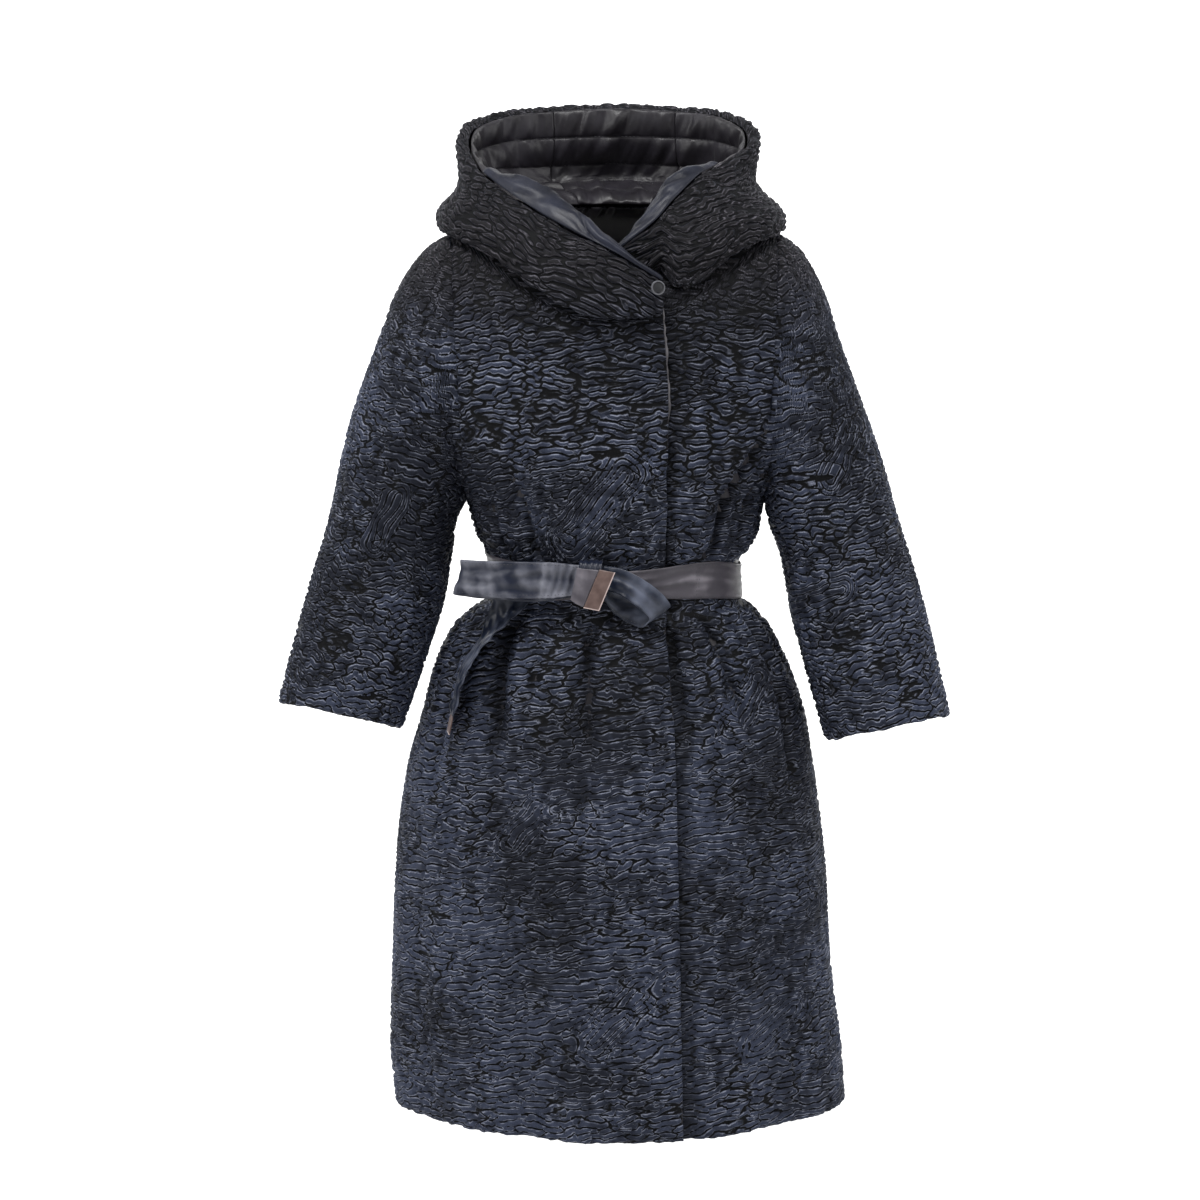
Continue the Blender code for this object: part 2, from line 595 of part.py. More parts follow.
def on_body(turn, level, off, lift=0.0):
    """A point off the body's face in the direction turn, where the hood is sewn on."""
    angle = ring_angle(turn, level)
    inset = LAP_DROP * ease(TUCK_START, TUCK_END, turn)
    point = body_point(angle, level, inset, folds=False) + off * body_normal(angle, level)
    return point + np.array([0, 0, lift])


def through(points, count):
    """Points spaced evenly along a smooth curve through a few points."""
    points = np.asarray(points, float)
    steps = np.linalg.norm(np.diff(points, axis=0), axis=1)
    at = np.concatenate([[0], np.cumsum(steps)])
    tangent = np.gradient(points, at, axis=0)
    where = np.linspace(0, at[-1], count)
    i = np.clip(np.searchsorted(at, where, side="right") - 1, 0, len(steps) - 1)
    t = ((where - at[i]) / steps[i])[:, None]
    span = steps[i][:, None]
    return (
        points[i] * (1 + 2 * t) * (1 - t) ** 2
        + tangent[i] * span * t * (1 - t) ** 2
        + points[i + 1] * t * t * (3 - 2 * t)
        + tangent[i + 1] * span * t * t * (t - 1)
    )


def hood_row(turn):
    return {key: smooth_through(HOOD, key, "turn", turn) for key in HOOD}


def turned_in(turn):
    """The pile turns in over the face edge, but not where the satin facings turn out."""
    return TURN_IN * ease(66, 96, turn) * (1 - ease(264, 294, turn))


def hood_section(turn, rows=12):
    """The pile wall of the hood in one direction, from the neck seam to the face edge."""
    row = hood_row(turn)
    tuck = ease(TUCK_START, TUCK_END, turn)
    sewn = on_body(turn, NECK_LEVEL - 0.004, SEAM_GAP + 0.0004)
    under = on_body(turn, NECK_LEVEL - 0.020, 0.003)
    over = on_body(turn, NECK_LEVEL - 0.032, 0.006)
    sewn_high = on_body(turn, NECK_LEVEL, 0.0, 0.0018)
    under_high = on_body(turn, NECK_LEVEL, 0.0, 0.0040)
    over_high = on_body(turn, NECK_LEVEL, 0.0, 0.0064)
    turn_in = turned_in(turn)
    points = [
        sewn + (sewn_high - sewn) * tuck,
        under + (under_high - under) * tuck,
        over + (over_high - over) * tuck,
        polar(turn, row["roll_r"], row["roll_z"]),
        polar(turn, row["bulge_r"], row["bulge_z"]),
        polar(turn, row["crease_r"], row["crease_z"]),
        polar(turn, row["edge_r"], row["edge_z"]),
        polar(turn, row["edge_r"] - turn_in - 0.0003, row["edge_z"] - 0.3 * turn_in + 0.0003),
    ]
    return through(points, rows)


def lining_section(turn, rows=3 * QUILT_CHANNELS + 1):
    """The lining's plain back inside the hood, from the turned-in pile to the neck seam."""
    row = hood_row(turn)
    top_r = row["edge_r"] - turned_in(turn) - 0.0028
    top_z = row["edge_z"] - 0.3 * TURN_IN - 0.0018
    neck = on_body(turn, NECK_LEVEL, 0.0)
    neck_r, neck_z = math.hypot(neck[0], neck[1]), neck[2]
    side_r = min(row["edge_r"], row["crease_r"]) - 0.012
    middle_r = (neck_r + row["crease_r"]) / 2
    return through(
        [
            polar(turn, top_r, top_z),
            polar(turn, side_r, (row["edge_z"] + row["crease_z"]) / 2),
            polar(turn, middle_r + 0.010, row["crease_z"] * 0.5 + neck_z * 0.5 + 0.012),
            polar(turn, neck_r + 0.004, neck_z + 0.0075),
            polar(turn, neck_r - 0.0035, neck_z + 0.0020),
        ],
        rows,
    )


def facing_section(turn, rows=8):
    """A satin facing: out of the face edge, over its crest and down inside to the neck."""
    row = hood_row(turn)
    inwards = smooth_through(FACING, "crest_in", "turn", turn)
    up = smooth_through(FACING, "crest_up", "turn", turn)
    crest_r, crest_z = row["edge_r"] - inwards, row["edge_z"] + up
    neck = on_body(turn, NECK_LEVEL, 0.0)
    neck_r, neck_z = math.hypot(neck[0], neck[1]), neck[2]
    whole = ease(6, 24, turn) * (1 - ease(352, 366, turn))
    low_r = crest_r - 0.004 + (neck_r - 0.0040 - crest_r + 0.004) * whole
    low_z = crest_z - 0.012 + (neck_z + 0.002 - crest_z + 0.012) * whole
    start = np.array([row["edge_r"] - 0.0012, row["edge_z"] + 0.0010])
    crest = np.array([crest_r, crest_z])
    low = np.array([low_r, low_z])
    profile = [
        start,
        start * 0.45 + crest * 0.55 + np.array([0.0010, 0.0022]),
        crest,
        crest * 0.62 + low * 0.38 + np.array([-0.0045, 0.0]),
        low,
    ]
    return through([polar(turn, radius, z) for radius, z in profile], rows)


def hood_piece(name, section, start, stop, columns, wall, finish, extra=()):
    turns = columns_between(start, stop, columns, extra)
    sections = np.array([section(turn) for turn in turns])
    return cloth(name, sections, wall, finish, inside=(0, 0, 0.02))


def lining_piece(name, start, stop, columns, finish):
    """A piece of lining with raised channels: its wall is thin along every third row."""
    piece = hood_piece(name, lining_section, start, stop, columns, QUILT_PUFF, finish)
    rows = 3 * QUILT_CHANNELS + 1
    puffs = piece.vertex_groups.new(name="puffs")
    between = [i for i in range(len(piece.data.vertices)) if i % rows % 3 and 1 < i // rows]
    last = len(piece.data.vertices) // rows - 2
    puffs.add([i for i in between if i // rows < last], 1.0, "REPLACE")
    wall = piece.modifiers["wall"]
    wall.vertex_group = "puffs"
    wall.thickness_vertex_group = SATIN_WALL / QUILT_PUFF
    return piece


# --- Trims on the panels ------------------------------------------------------------------
def on_panel(panel, angle, level, off):
    """A point on a panel's own flat facets, moved out of its face."""
    angles, levels, rows = panel
    i = int(np.clip(np.searchsorted(levels, level) - 1, 0, len(levels) - 2))
    share = (level - levels[i]) / (levels[i + 1] - levels[i])
    low = [np.interp(angle, angles[i], rows[i][:, axis]) for axis in range(3)]
    high = [np.interp(angle, angles[i + 1], rows[i + 1][:, axis]) for axis in range(3)]
    point = np.array(low) * (1 - share) + np.array(high) * share
    return point + off * body_normal(angle, level)


def pocket_welt(side, panel, finish, length_rows=12):
    """A narrow slanted strip that covers a pocket's mouth."""
    row = {key: POCKETS[key][0 if side == "right" else 1] for key in POCKETS}
    rows = []
    for share in np.linspace(0, 1, length_rows):
        level = row["top_z"] + (row["bottom_z"] - row["top_z"]) * share
        x = row["top_x"] + (row["bottom_x"] - row["top_x"]) * share
        across = np.linspace(-0.5, 0.5, 4) * WELT_WIDTH
        off = SEAM_GAP * 3 + PILE_WALL * 0.8
        rows.append([on_panel(panel, angle_at_x(x + a, level), level, off) for a in across])
    return cloth(f"pocket_welt_{side}", rows, PILE_WALL * 0.8, finish)


def front_facing(finish):
    """The satin that shows past the free edge of the top front, below the snap."""
    rows = []
    for level in np.linspace(0.030, -0.190, 12):
        z = body_point(0, level)[2]
        edge = angle_at_x(smooth_through(TOP_EDGE, "x", "z", z), level)
        angles = np.array([edge - 14, edge - 7, edge, edge + 0.7])
        rows.append(body_point(angles, level, PILE_WALL + SEAM_GAP * 1.5))
    return cloth("front_facing", rows, SATIN_WALL, finish)


def snap_button(finish):
    """A round snap with a raised rim, turned from its profile and set on the hood's corner."""
    profile = [(0.0, 0.0), (0.0068, 0.0), (0.0075, 0.0006), (0.0075, 0.0018), (0.0069, 0.0024),
               (0.0060, 0.0024), (0.0056, 0.0016), (0.0030, 0.0017), (0.0, 0.0021)]
    mesh = bpy.data.meshes.new("snap_button")
    mesh.from_pydata([(x, 0, z) for x, z in reversed(profile)],
                     [(i, i + 1) for i in range(len(profile) - 1)], [])
    mesh.materials.append(finish)
    snap = bpy.data.objects.new("snap_button", mesh)
    COAT.objects.link(snap)
    screw = snap.modifiers.new("turned", "SCREW")
    screw.steps = screw.render_steps = 16
    screw.use_merge_vertices = True
    screw.merge_threshold = 0.00001
    section = hood_section(SNAP_TURN, rows=60)
    seat = section[np.argmin(np.abs(section[:, 2] - SNAP_Z) + (section[:, 2] < -0.075))]
    outward = Vector(polar(SNAP_TURN, 1.0, 0.10)).normalized()
    snap.location = Vector(seat) + outward * (SEAM_GAP + 0.0004)
    snap.rotation_euler = outward.to_track_quat("Z", "Y").to_euler()
    return snap


# --- Belt ---------------------------------------------------------------------------------
def belt_band(finish, around=56):
    columns = []
    for angle in np.linspace(-180, 180, around, endpoint=False):
        top = smooth_through(BELT, "top_z", "angle", angle)
        bottom = smooth_through(BELT, "bottom_z", "angle", angle)
        levels = np.linspace(top, bottom, 3)
        columns.append(body_point(angle, levels, -(0.0009 + BELT_WALL), folds=False))
    rows = np.array(columns).transpose(1, 0, 2)
    return cloth("belt_band", rows, BELT_WALL, finish, closed=True)


def ribbon(name, finish, wall=BELT_WALL, along=18, across=3):
    path = RIBBONS[name]
    middle = through(np.stack([path["x"], path["y"], path["z"]], -1), along)
    key = np.linspace(0, 1, len(path["x"]))
    at = np.linspace(0, 1, along)
    side = np.stack([np.interp(at, key, path[f"across_{axis}"]) for axis in "xyz"], -1)
    side /= np.linalg.norm(side, axis=1)[:, None]
    width = np.interp(at, key, path["width"])
    rows = [middle + side * (width * place)[:, None] for place in np.linspace(-0.5, 0.5, across)]
    return cloth(name, np.array(rows).transpose(1, 0, 2), wall, finish, middle=True)


def belt_knot(finish, around=16):
    """A short band wrapped round the loops where they cross."""
    turns = np.linspace(0, 2 * math.pi, around, endpoint=False)
    power = 0.6
    cosine, sine = np.cos(turns), np.sin(turns)
    y = sum(KNOT_Y) / 2 + (KNOT_Y[1] - KNOT_Y[0]) / 2 * np.sign(cosine) * np.abs(cosine) ** power
    z = sum(KNOT_Z) / 2 + (KNOT_Z[1] - KNOT_Z[0]) / 2 * np.sign(sine) * np.abs(sine) ** power
    rows = [np.stack([np.full(around, x), y, z], -1) for x in np.linspace(*KNOT_X, 4)]
    centre = (sum(KNOT_X) / 2, sum(KNOT_Y) / 2, sum(KNOT_Z) / 2)
    return cloth("belt_knot", rows, BELT_WALL, finish, inside=centre, closed=True)


def build():
    pile = material("crimped pile", (0.012, 0.014, 0.022), 0.75)
    satin = material("quilted satin", (0.022, 0.020, 0.024), 0.35)
    belt_satin = material("belt satin", (0.10, 0.10, 0.12), 0.35)
    leather = material("leather", (0.17, 0.11, 0.09), 0.5)
    metal = material("dark snap", (0.05, 0.05, 0.06), 0.4, 0.8)
    back_panel(pile)
    right_panel = front_right_panel(pile)
    left_panel = front_left_panel(pile)
    for side in ("right", "left"):
        sleeve(side, pile)
    seam_a, seam_b = HOOD_SEAMS
    gap = 0.1
    hood_piece("hood_right", hood_section, HOOD_RIGHT_END, seam_a - gap, 22, PILE_WALL, pile)
    hood_piece("hood_centre", hood_section, seam_a + gap, seam_b - gap, 10, PILE_WALL, pile)
    hood_piece("hood_left", hood_section, seam_b + gap, HOOD_LEFT_END, 19, PILE_WALL, pile,
               extra=TUCK_COLUMNS)
    face_a, face_b = FACING_ENDS
    lining_piece("lining_right", face_a + gap, seam_a - gap, 11, satin)
    lining_piece("lining_centre", seam_a + gap, seam_b - gap, 9, satin)
    lining_piece("lining_left", seam_b + gap, face_b - gap, 11, satin)
    hood_piece("facing_right", facing_section, HOOD_RIGHT_END, face_a - gap, 14, SATIN_WALL, satin)
    hood_piece("facing_left", facing_section, face_b + gap, HOOD_LEFT_END, 12, SATIN_WALL, satin)
    front_facing(satin)
    pocket_welt("right", right_panel, pile)
    pocket_welt("left", left_panel, pile)
    snap_button(metal)
    belt_band(belt_satin)
    belt_knot(belt_satin)
    for name in RIBBONS:
        ends = "leather" in name
        ribbon(name, leather if ends else belt_satin, along=3 if ends else 18)


clear_scene()
COAT = bpy.data.collections.new("hooded wrap coat")
bpy.context.scene.collection.children.link(COAT)
build()
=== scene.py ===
# %% [markdown]
# # A hooded wrap coat in crimped pile
#
# The coat is sewn from a blue-black cloth whose curly pile is pressed into small winding
# ridges. It has a tall hood lined with quilted satin, wide short sleeves, slanted pockets and
# a satin belt tied in a bow. This lesson starts from plain solids of the same pieces, and
# gives each piece its finished form: the ridges of the pile, the puffs of the quilting, the
# creases of the satin and the stitches. Lengths are in metres, +Z is up and the front
# faces -Y.

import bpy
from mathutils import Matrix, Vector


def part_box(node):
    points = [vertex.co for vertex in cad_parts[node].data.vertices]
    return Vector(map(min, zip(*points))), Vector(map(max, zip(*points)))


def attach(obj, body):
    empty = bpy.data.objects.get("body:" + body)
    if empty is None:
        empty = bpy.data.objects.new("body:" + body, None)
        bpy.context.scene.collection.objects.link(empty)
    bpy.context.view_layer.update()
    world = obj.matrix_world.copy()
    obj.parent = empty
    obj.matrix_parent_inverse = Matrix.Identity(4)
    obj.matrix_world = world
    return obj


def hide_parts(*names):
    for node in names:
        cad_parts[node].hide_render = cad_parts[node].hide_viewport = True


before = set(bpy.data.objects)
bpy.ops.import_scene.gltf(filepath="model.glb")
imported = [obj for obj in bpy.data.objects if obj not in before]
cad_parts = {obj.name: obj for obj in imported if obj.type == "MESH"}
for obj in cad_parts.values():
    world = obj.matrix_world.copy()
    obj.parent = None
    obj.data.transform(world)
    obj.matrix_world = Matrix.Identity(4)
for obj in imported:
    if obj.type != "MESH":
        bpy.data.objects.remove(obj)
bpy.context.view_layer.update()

# %% Tools for the whole lesson
import math

import bmesh
import bpy
import numpy as np
from mathutils import Matrix, Vector

for obj in bpy.context.selected_objects:
    obj.select_set(False)
collection = bpy.data.collections.new("finished coat")
bpy.context.scene.collection.children.link(collection)
print("finished pieces go into:", collection.name)

# %% [markdown]
# ## The pattern of the coat
#
# A coat hangs in rings round the body. Each ring is a rounded box, wider than it is deep, and
# the table gives one ring for each height where the outline changes. In between, values run
# along a smooth curve that never overshoots. The solids were made from the same tables, so
# what is built here lies on them, only with far more points. The belt draws the cloth in, so
# small gathers run up and down from it. Each has a row of its own, because real gathers differ
# in length, depth and spacing.


# %% Tables and smooth steps
def table(columns, *rows):
    """Rows of numbers under named columns, as one array for each name."""
    return dict(zip(columns.split(), np.array(rows, float).T))


def smooth_through(table_, key, by, at):
    """A value between the rows of a table, on a curve that never overshoots them."""
    x, y = table_[by], table_[key]
    at = np.clip(np.asarray(at, float), x[0], x[-1])
    step = np.diff(x)
    slope = np.diff(y) / step
    tangent = np.zeros_like(y)
    both = slope[:-1] * slope[1:] > 0
    tangent[1:-1][both] = 2 * slope[:-1][both] * slope[1:][both] / (slope[:-1] + slope[1:])[both]
    tangent[0], tangent[-1] = slope[0], slope[-1]
    i = np.clip(np.searchsorted(x, at, side="right") - 1, 0, len(step) - 1)
    t = (at - x[i]) / step[i]
    return (
        y[i] * (1 + 2 * t) * (1 - t) ** 2
        + tangent[i] * step[i] * t * (1 - t) ** 2
        + y[i + 1] * t * t * (3 - 2 * t)
        + tangent[i + 1] * step[i] * t * t * (t - 1)
    )


def ease(low, high, at):
    """0 below low, 1 above high, and a soft step between them."""
    t = np.clip((np.asarray(at, float) - low) / (high - low), 0, 1)
    return t * t * (3 - 2 * t)


def through(points, count):
    """Points along a smooth curve through a few points, or whole rows through a few rows."""
    points = np.asarray(points, float)
    steps = np.linalg.norm(np.diff(points, axis=0), axis=-1)
    steps = steps.reshape(len(steps), -1).mean(axis=1)
    at = np.concatenate([[0], np.cumsum(steps)])
    tangent = np.gradient(points, at, axis=0)
    where = np.linspace(0, at[-1], count)
    i = np.clip(np.searchsorted(at, where, side="right") - 1, 0, len(steps) - 1)
    shape = (-1,) + (1,) * (points.ndim - 1)
    t, span = ((where - at[i]) / steps[i]).reshape(shape), steps[i].reshape(shape)
    return (
        points[i] * (1 + 2 * t) * (1 - t) ** 2
        + tangent[i] * span * t * (1 - t) ** 2
        + points[i + 1] * t * t * (3 - 2 * t)
        + tangent[i + 1] * span * t * t * (t - 1)
    )


print("a soft step half way:", float(ease(0, 1, 0.5)))

# %% Sizes of the cloth and the body's rings
PILE_WALL = 0.003
SATIN_WALL = 0.0015
QUILT_PUFF = 0.0045
BELT_WALL = 0.0016
SEAM_GAP = 0.0004        # between the solids
SEWN_GAP = 0.00004       # between two finished pieces, so that no light shows through a seam
THINNER = 0.0002         # a finished shell is this much thinner than its solid's wall
SEAM_RADIUS = 0.14       # about how far a side seam is from the middle of the coat
COAT_MIDDLE = (0, 0, -0.4)
HEM_LEVEL, NECK_LEVEL = -0.957, 0.060
LAP_DROP = 0.0075
EDGE_ANGLE_UNDER = -26.0
SIDE_SEAM = 96.0
ARMHOLE_TOP_X, ARMHOLE_BOTTOM_X = 0.168, 0.1575
ARMHOLE_TOP_Z, ARMHOLE_BOTTOM_Z = -0.011, -0.288
WAIST_TOP, WAIST_BOTTOM = -0.352, -0.402

BODY = table(
    "level  right  left   front  back   square side_z  front_z back_z",
    (-0.957, 0.2395, 0.2515, 0.147, 0.156, 1.65, -0.957, -0.957, -0.957),
    (-0.889, 0.2450, 0.2465, 0.147, 0.156, 1.75, -0.889, -0.889, -0.889),
    (-0.840, 0.2435, 0.2395, 0.147, 0.155, 1.85, -0.840, -0.840, -0.840),
    (-0.787, 0.2410, 0.2330, 0.146, 0.154, 1.95, -0.787, -0.787, -0.787),
    (-0.687, 0.2365, 0.2270, 0.144, 0.152, 2.05, -0.687, -0.687, -0.687),
    (-0.587, 0.2240, 0.2140, 0.141, 0.147, 2.15, -0.587, -0.587, -0.587),
    (-0.520, 0.2060, 0.2025, 0.136, 0.140, 2.20, -0.520, -0.520, -0.520),
    (-0.470, 0.1930, 0.1860, 0.130, 0.131, 2.20, -0.470, -0.470, -0.470),
    (-0.430, 0.1740, 0.1660, 0.121, 0.118, 2.20, -0.430, -0.430, -0.430),
    (-0.408, 0.1500, 0.1470, 0.112, 0.106, 2.20, -0.408, -0.408, -0.408),
    (-0.397, 0.1360, 0.1335, 0.106, 0.101, 2.20, -0.397, -0.397, -0.397),
    (-0.358, 0.1345, 0.1325, 0.105, 0.100, 2.20, -0.358, -0.358, -0.358),
    (-0.342, 0.1390, 0.1430, 0.111, 0.106, 2.20, -0.342, -0.342, -0.342),
    (-0.325, 0.1480, 0.1520, 0.117, 0.112, 2.25, -0.325, -0.325, -0.325),
    (-0.290, 0.1575, 0.1575, 0.123, 0.119, 2.30, -0.290, -0.290, -0.290),
    (-0.250, 0.1850, 0.1850, 0.126, 0.124, 2.30, -0.250, -0.252, -0.250),
    (-0.200, 0.2120, 0.2120, 0.128, 0.128, 2.30, -0.200, -0.212, -0.202),
    (-0.100, 0.2260, 0.2260, 0.128, 0.131, 2.30, -0.100, -0.145, -0.112),
    (-0.050, 0.2200, 0.2200, 0.127, 0.129, 2.30, -0.057, -0.122, -0.074),
    (0.000, 0.1900, 0.1900, 0.125, 0.123, 2.25, -0.021, -0.104, -0.036),
    (0.020, 0.1680, 0.1680, 0.123, 0.115, 2.20, -0.011, -0.097, -0.019),
    (0.040, 0.1330, 0.1330, 0.120, 0.099, 2.10, 0.004, -0.089, 0.000),
    (0.060, 0.0980, 0.0980, 0.116, 0.080, 2.00, 0.014, -0.081, 0.016),
)
FOLDS = table(
    "top_z  top_angle bottom_z bottom_angle half_width depth",
    (-0.225, 46, -0.345, 42, 5.0, 0.0085),
    (-0.200, 62, -0.330, 58, 4.5, 0.0060),
    (-0.270, 15, -0.345, 17, 3.5, 0.0040),
    (-0.270, -34, -0.345, -33, 4.5, 0.0060),
    (-0.300, -12, -0.345, -11, 3.0, 0.0030),
    (-0.408, -42, -0.520, -35, 6.0, 0.0120),
    (-0.408, -8, -0.530, -6, 4.0, 0.0070),
    (-0.408, 37, -0.500, 41, 4.5, 0.0080),
    (-0.410, 66, -0.560, 62, 5.0, 0.0070),
    (-0.412, -66, -0.560, -60, 5.0, 0.0060),
    (-0.235, 128, -0.345, 134, 5.0, 0.0070),
    (-0.200, -126, -0.345, -130, 5.0, 0.0070),
    (-0.260, 160, -0.345, 158, 4.0, 0.0050),
    (-0.250, -164, -0.345, -160, 4.0, 0.0055),
    (-0.408, 118, -0.560, 124, 5.0, 0.0080),
    (-0.408, -120, -0.540, -124, 5.0, 0.0075),
    (-0.408, 149, -0.520, 146, 4.5, 0.0080),
    (-0.408, -151, -0.530, -147, 4.5, 0.0080),
    (-0.408, 178, -0.500, 178, 4.0, 0.0060),
)
TOP_EDGE = table(
    "z      x",
    (-0.960, 0.0725),
    (-0.690, 0.0665),
    (-0.500, 0.0610),
    (-0.410, 0.0545),
    (-0.350, 0.0520),
    (-0.280, 0.0540),
    (-0.190, 0.0545),
    (-0.100, 0.0490),
    (-0.060, 0.0450),
)
GATHERS = table(
    "top_z  top_angle bottom_z bottom_angle half_width depth",
    (-0.290, -53, -0.345, -51, 2.2, 0.0050),
    (-0.262, -23, -0.345, -23, 2.0, 0.0042),
    (-0.300, 4, -0.345, 4, 1.8, 0.0036),
    (-0.285, 28, -0.345, 26, 2.0, 0.0048),
    (-0.240, 54, -0.345, 50, 2.2, 0.0056),
    (-0.285, 79, -0.345, 76, 3.0, 0.0046),
    (-0.262, -79, -0.345, -75, 3.0, 0.0050),
    (-0.408, -54, -0.462, -53, 2.2, 0.0056),
    (-0.408, -25, -0.478, -24, 2.0, 0.0060),
    (-0.408, 3, -0.456, 5, 1.8, 0.0044),
    (-0.408, 18, -0.535, 21, 2.6, 0.0068),
    (-0.408, 28, -0.448, 29, 1.8, 0.0042),
    (-0.408, 52, -0.486, 52, 2.4, 0.0058),
    (-0.408, 80, -0.462, 79, 3.0, 0.0050),
    (-0.408, -79, -0.474, -77, 3.0, 0.0054),
    (-0.560, -31, -0.975, -25, 8.0, 0.0060),
    (-0.600, 44, -0.975, 49, 9.0, 0.0065),
    (-0.680, -64, -0.975, -60, 7.0, 0.0050),
    (-0.272, 109, -0.345, 112, 2.4, 0.0050),
    (-0.296, 144, -0.345, 146, 2.0, 0.0042),
    (-0.250, 171, -0.345, 170, 2.2, 0.0050),
    (-0.285, -177, -0.345, -176, 1.8, 0.0040),
    (-0.262, -145, -0.345, -142, 2.4, 0.0052),
    (-0.294, -107, -0.345, -109, 2.6, 0.0046),
    (-0.408, 104, -0.470, 105, 2.6, 0.0052),
    (-0.408, 134, -0.455, 133, 2.0, 0.0046),
    (-0.408, 163, -0.485, 164, 2.2, 0.0056),
    (-0.408, -168, -0.450, -168, 2.0, 0.0044),
    (-0.408, -137, -0.478, -138, 2.2, 0.0056),
    (-0.408, -105, -0.460, -106, 2.8, 0.0050),
    (-0.580, 152, -0.975, 148, 8.0, 0.0060),
    (-0.620, -146, -0.975, -150, 9.0, 0.0065),
)
SHARPER = 0.75           # each large fold also has a narrow crease along its bottom
print("rings:", len(BODY["level"]), "folds:", len(FOLDS["depth"]), "gathers:", len(GATHERS["depth"]))


# %% A point of the body's outer face
def fold_depth(angle, level):
    """How far the folds push the outer face in at this place."""
    depth = np.zeros(np.broadcast(angle, level).shape)
    for shape, sharper in ((FOLDS, SHARPER), (GATHERS, 0.0)):
        for top_z, top_a, low_z, low_a, width, deep in zip(*shape.values()):
            along = np.clip((top_z - level) / (top_z - low_z), 0, 1)
            away = (angle - (top_a + (low_a - top_a) * along) + 180) % 360 - 180
            ends = ease(low_z - 0.05, low_z + 0.02, level) * (1 - ease(top_z - 0.02, top_z + 0.05, level))
            soft = np.exp(-((away / width) ** 2)) + sharper * np.exp(-((away / (0.42 * width)) ** 2))
            depth += deep * soft * ends
    belt = ease(WAIST_BOTTOM - 0.016, WAIST_BOTTOM, level) * (
        1 - ease(WAIST_TOP, WAIST_TOP + 0.016, level)
    )
    return depth * (1 - belt)


def body_point(angle, level, inset=0.0, folds=True):
    """The outer face at an angle from the centre front (+ towards +X) and a level."""
    angle, level = np.broadcast_arrays(np.asarray(angle, float), np.asarray(level, float))
    sine, cosine = np.sin(np.radians(angle)), np.cos(np.radians(angle))
    ring = {key: smooth_through(BODY, key, "level", level) for key in BODY}
    width = np.where(sine < 0, ring["right"], ring["left"])
    deep = np.where(cosine > 0, ring["front"], ring["back"])
    power = 2 / ring["square"]
    x = width * np.sign(sine) * np.abs(sine) ** power
    y = -deep * np.sign(cosine) * np.abs(cosine) ** power
    tip = np.where(cosine > 0, ring["front_z"], ring["back_z"])
    z = ring["side_z"] + (tip - ring["side_z"]) * np.abs(cosine) ** 3
    inwards = np.asarray(inset, float) + (fold_depth(angle, level) if folds else 0.0)
    out_x, out_y = x / width**2, y / deep**2
    length = np.hypot(out_x, out_y)
    return np.stack([x - inwards * out_x / length, y - inwards * out_y / length, z], -1)


def body_normal(angle, level):
    """The direction that the outer face looks in, without its folds."""
    across = body_point(angle + 0.2, level, folds=False) - body_point(angle - 0.2, level, folds=False)
    up = body_point(angle, level + 5e-4, folds=False) - body_point(angle, level - 5e-4, folds=False)
    normal = np.cross(across, up)
    return normal / np.linalg.norm(normal, axis=-1, keepdims=True)


def angle_at_x(x, level):
    """The angle on the front half of a ring where it passes this x."""
    x = np.asarray(x, float)
    width = np.where(
        x < 0,
        smooth_through(BODY, "right", "level", level),
        smooth_through(BODY, "left", "level", level),
    )
    share = np.clip(np.abs(x) / width, 0, 1)
    half_square = smooth_through(BODY, "square", "level", level) / 2
    return np.sign(x) * np.degrees(np.arcsin(share**half_square))


print("centre front at the waist:", body_point(0, -0.38).round(3))


# %% The armholes
def armhole_x(level):
    """The armhole lies in a plane that leans a little: narrower at the underarm."""
    share = np.clip((level - ARMHOLE_BOTTOM_Z) / (ARMHOLE_TOP_Z - ARMHOLE_BOTTOM_Z), 0, 1)
    return ARMHOLE_BOTTOM_X + (ARMHOLE_TOP_X - ARMHOLE_BOTTOM_X) * share


def armhole_ends(side):
    """The levels where the body's face passes through the armhole's plane."""
    ends = []
    for inside, outside in ((-0.15, -0.33), (-0.15, 0.05)):
        for _ in range(60):
            middle = (inside + outside) / 2
            if smooth_through(BODY, side, "level", middle) > armhole_x(middle):
                inside = middle
            else:
                outside = middle
        ends.append((inside + outside) / 2)
    return ends


ARMHOLE = {side: armhole_ends(side) for side in ("right", "left")}
SIGN = {"right": -1.0, "left": 1.0}


def armhole_angle(side, level, front):
    """Angle from the centre front at which a ring meets the armhole, on one half of it."""
    width = smooth_through(BODY, side, "level", level)
    half_square = smooth_through(BODY, "square", "level", level) / 2
    turned = np.degrees(np.arcsin(np.clip(armhole_x(level) / width, 0, 1) ** half_square))
    return turned if front else 180 - turned


def side_angle(side, level, front):
    """Where a front or back panel ends at its side: seam, armhole, then shoulder seam."""
    low, high = ARMHOLE[side]
    seam = 90 + (SIDE_SEAM - 90) * (1 - ease(low - 0.12, low - 0.01, level))
    if low < level < high:
        seam = armhole_angle(side, level, front)
    half_gap = math.degrees(SEWN_GAP / 2 / SEAM_RADIUS)
    return seam - half_gap if front else seam + half_gap


print("armholes from", np.round(ARMHOLE["left"], 3))

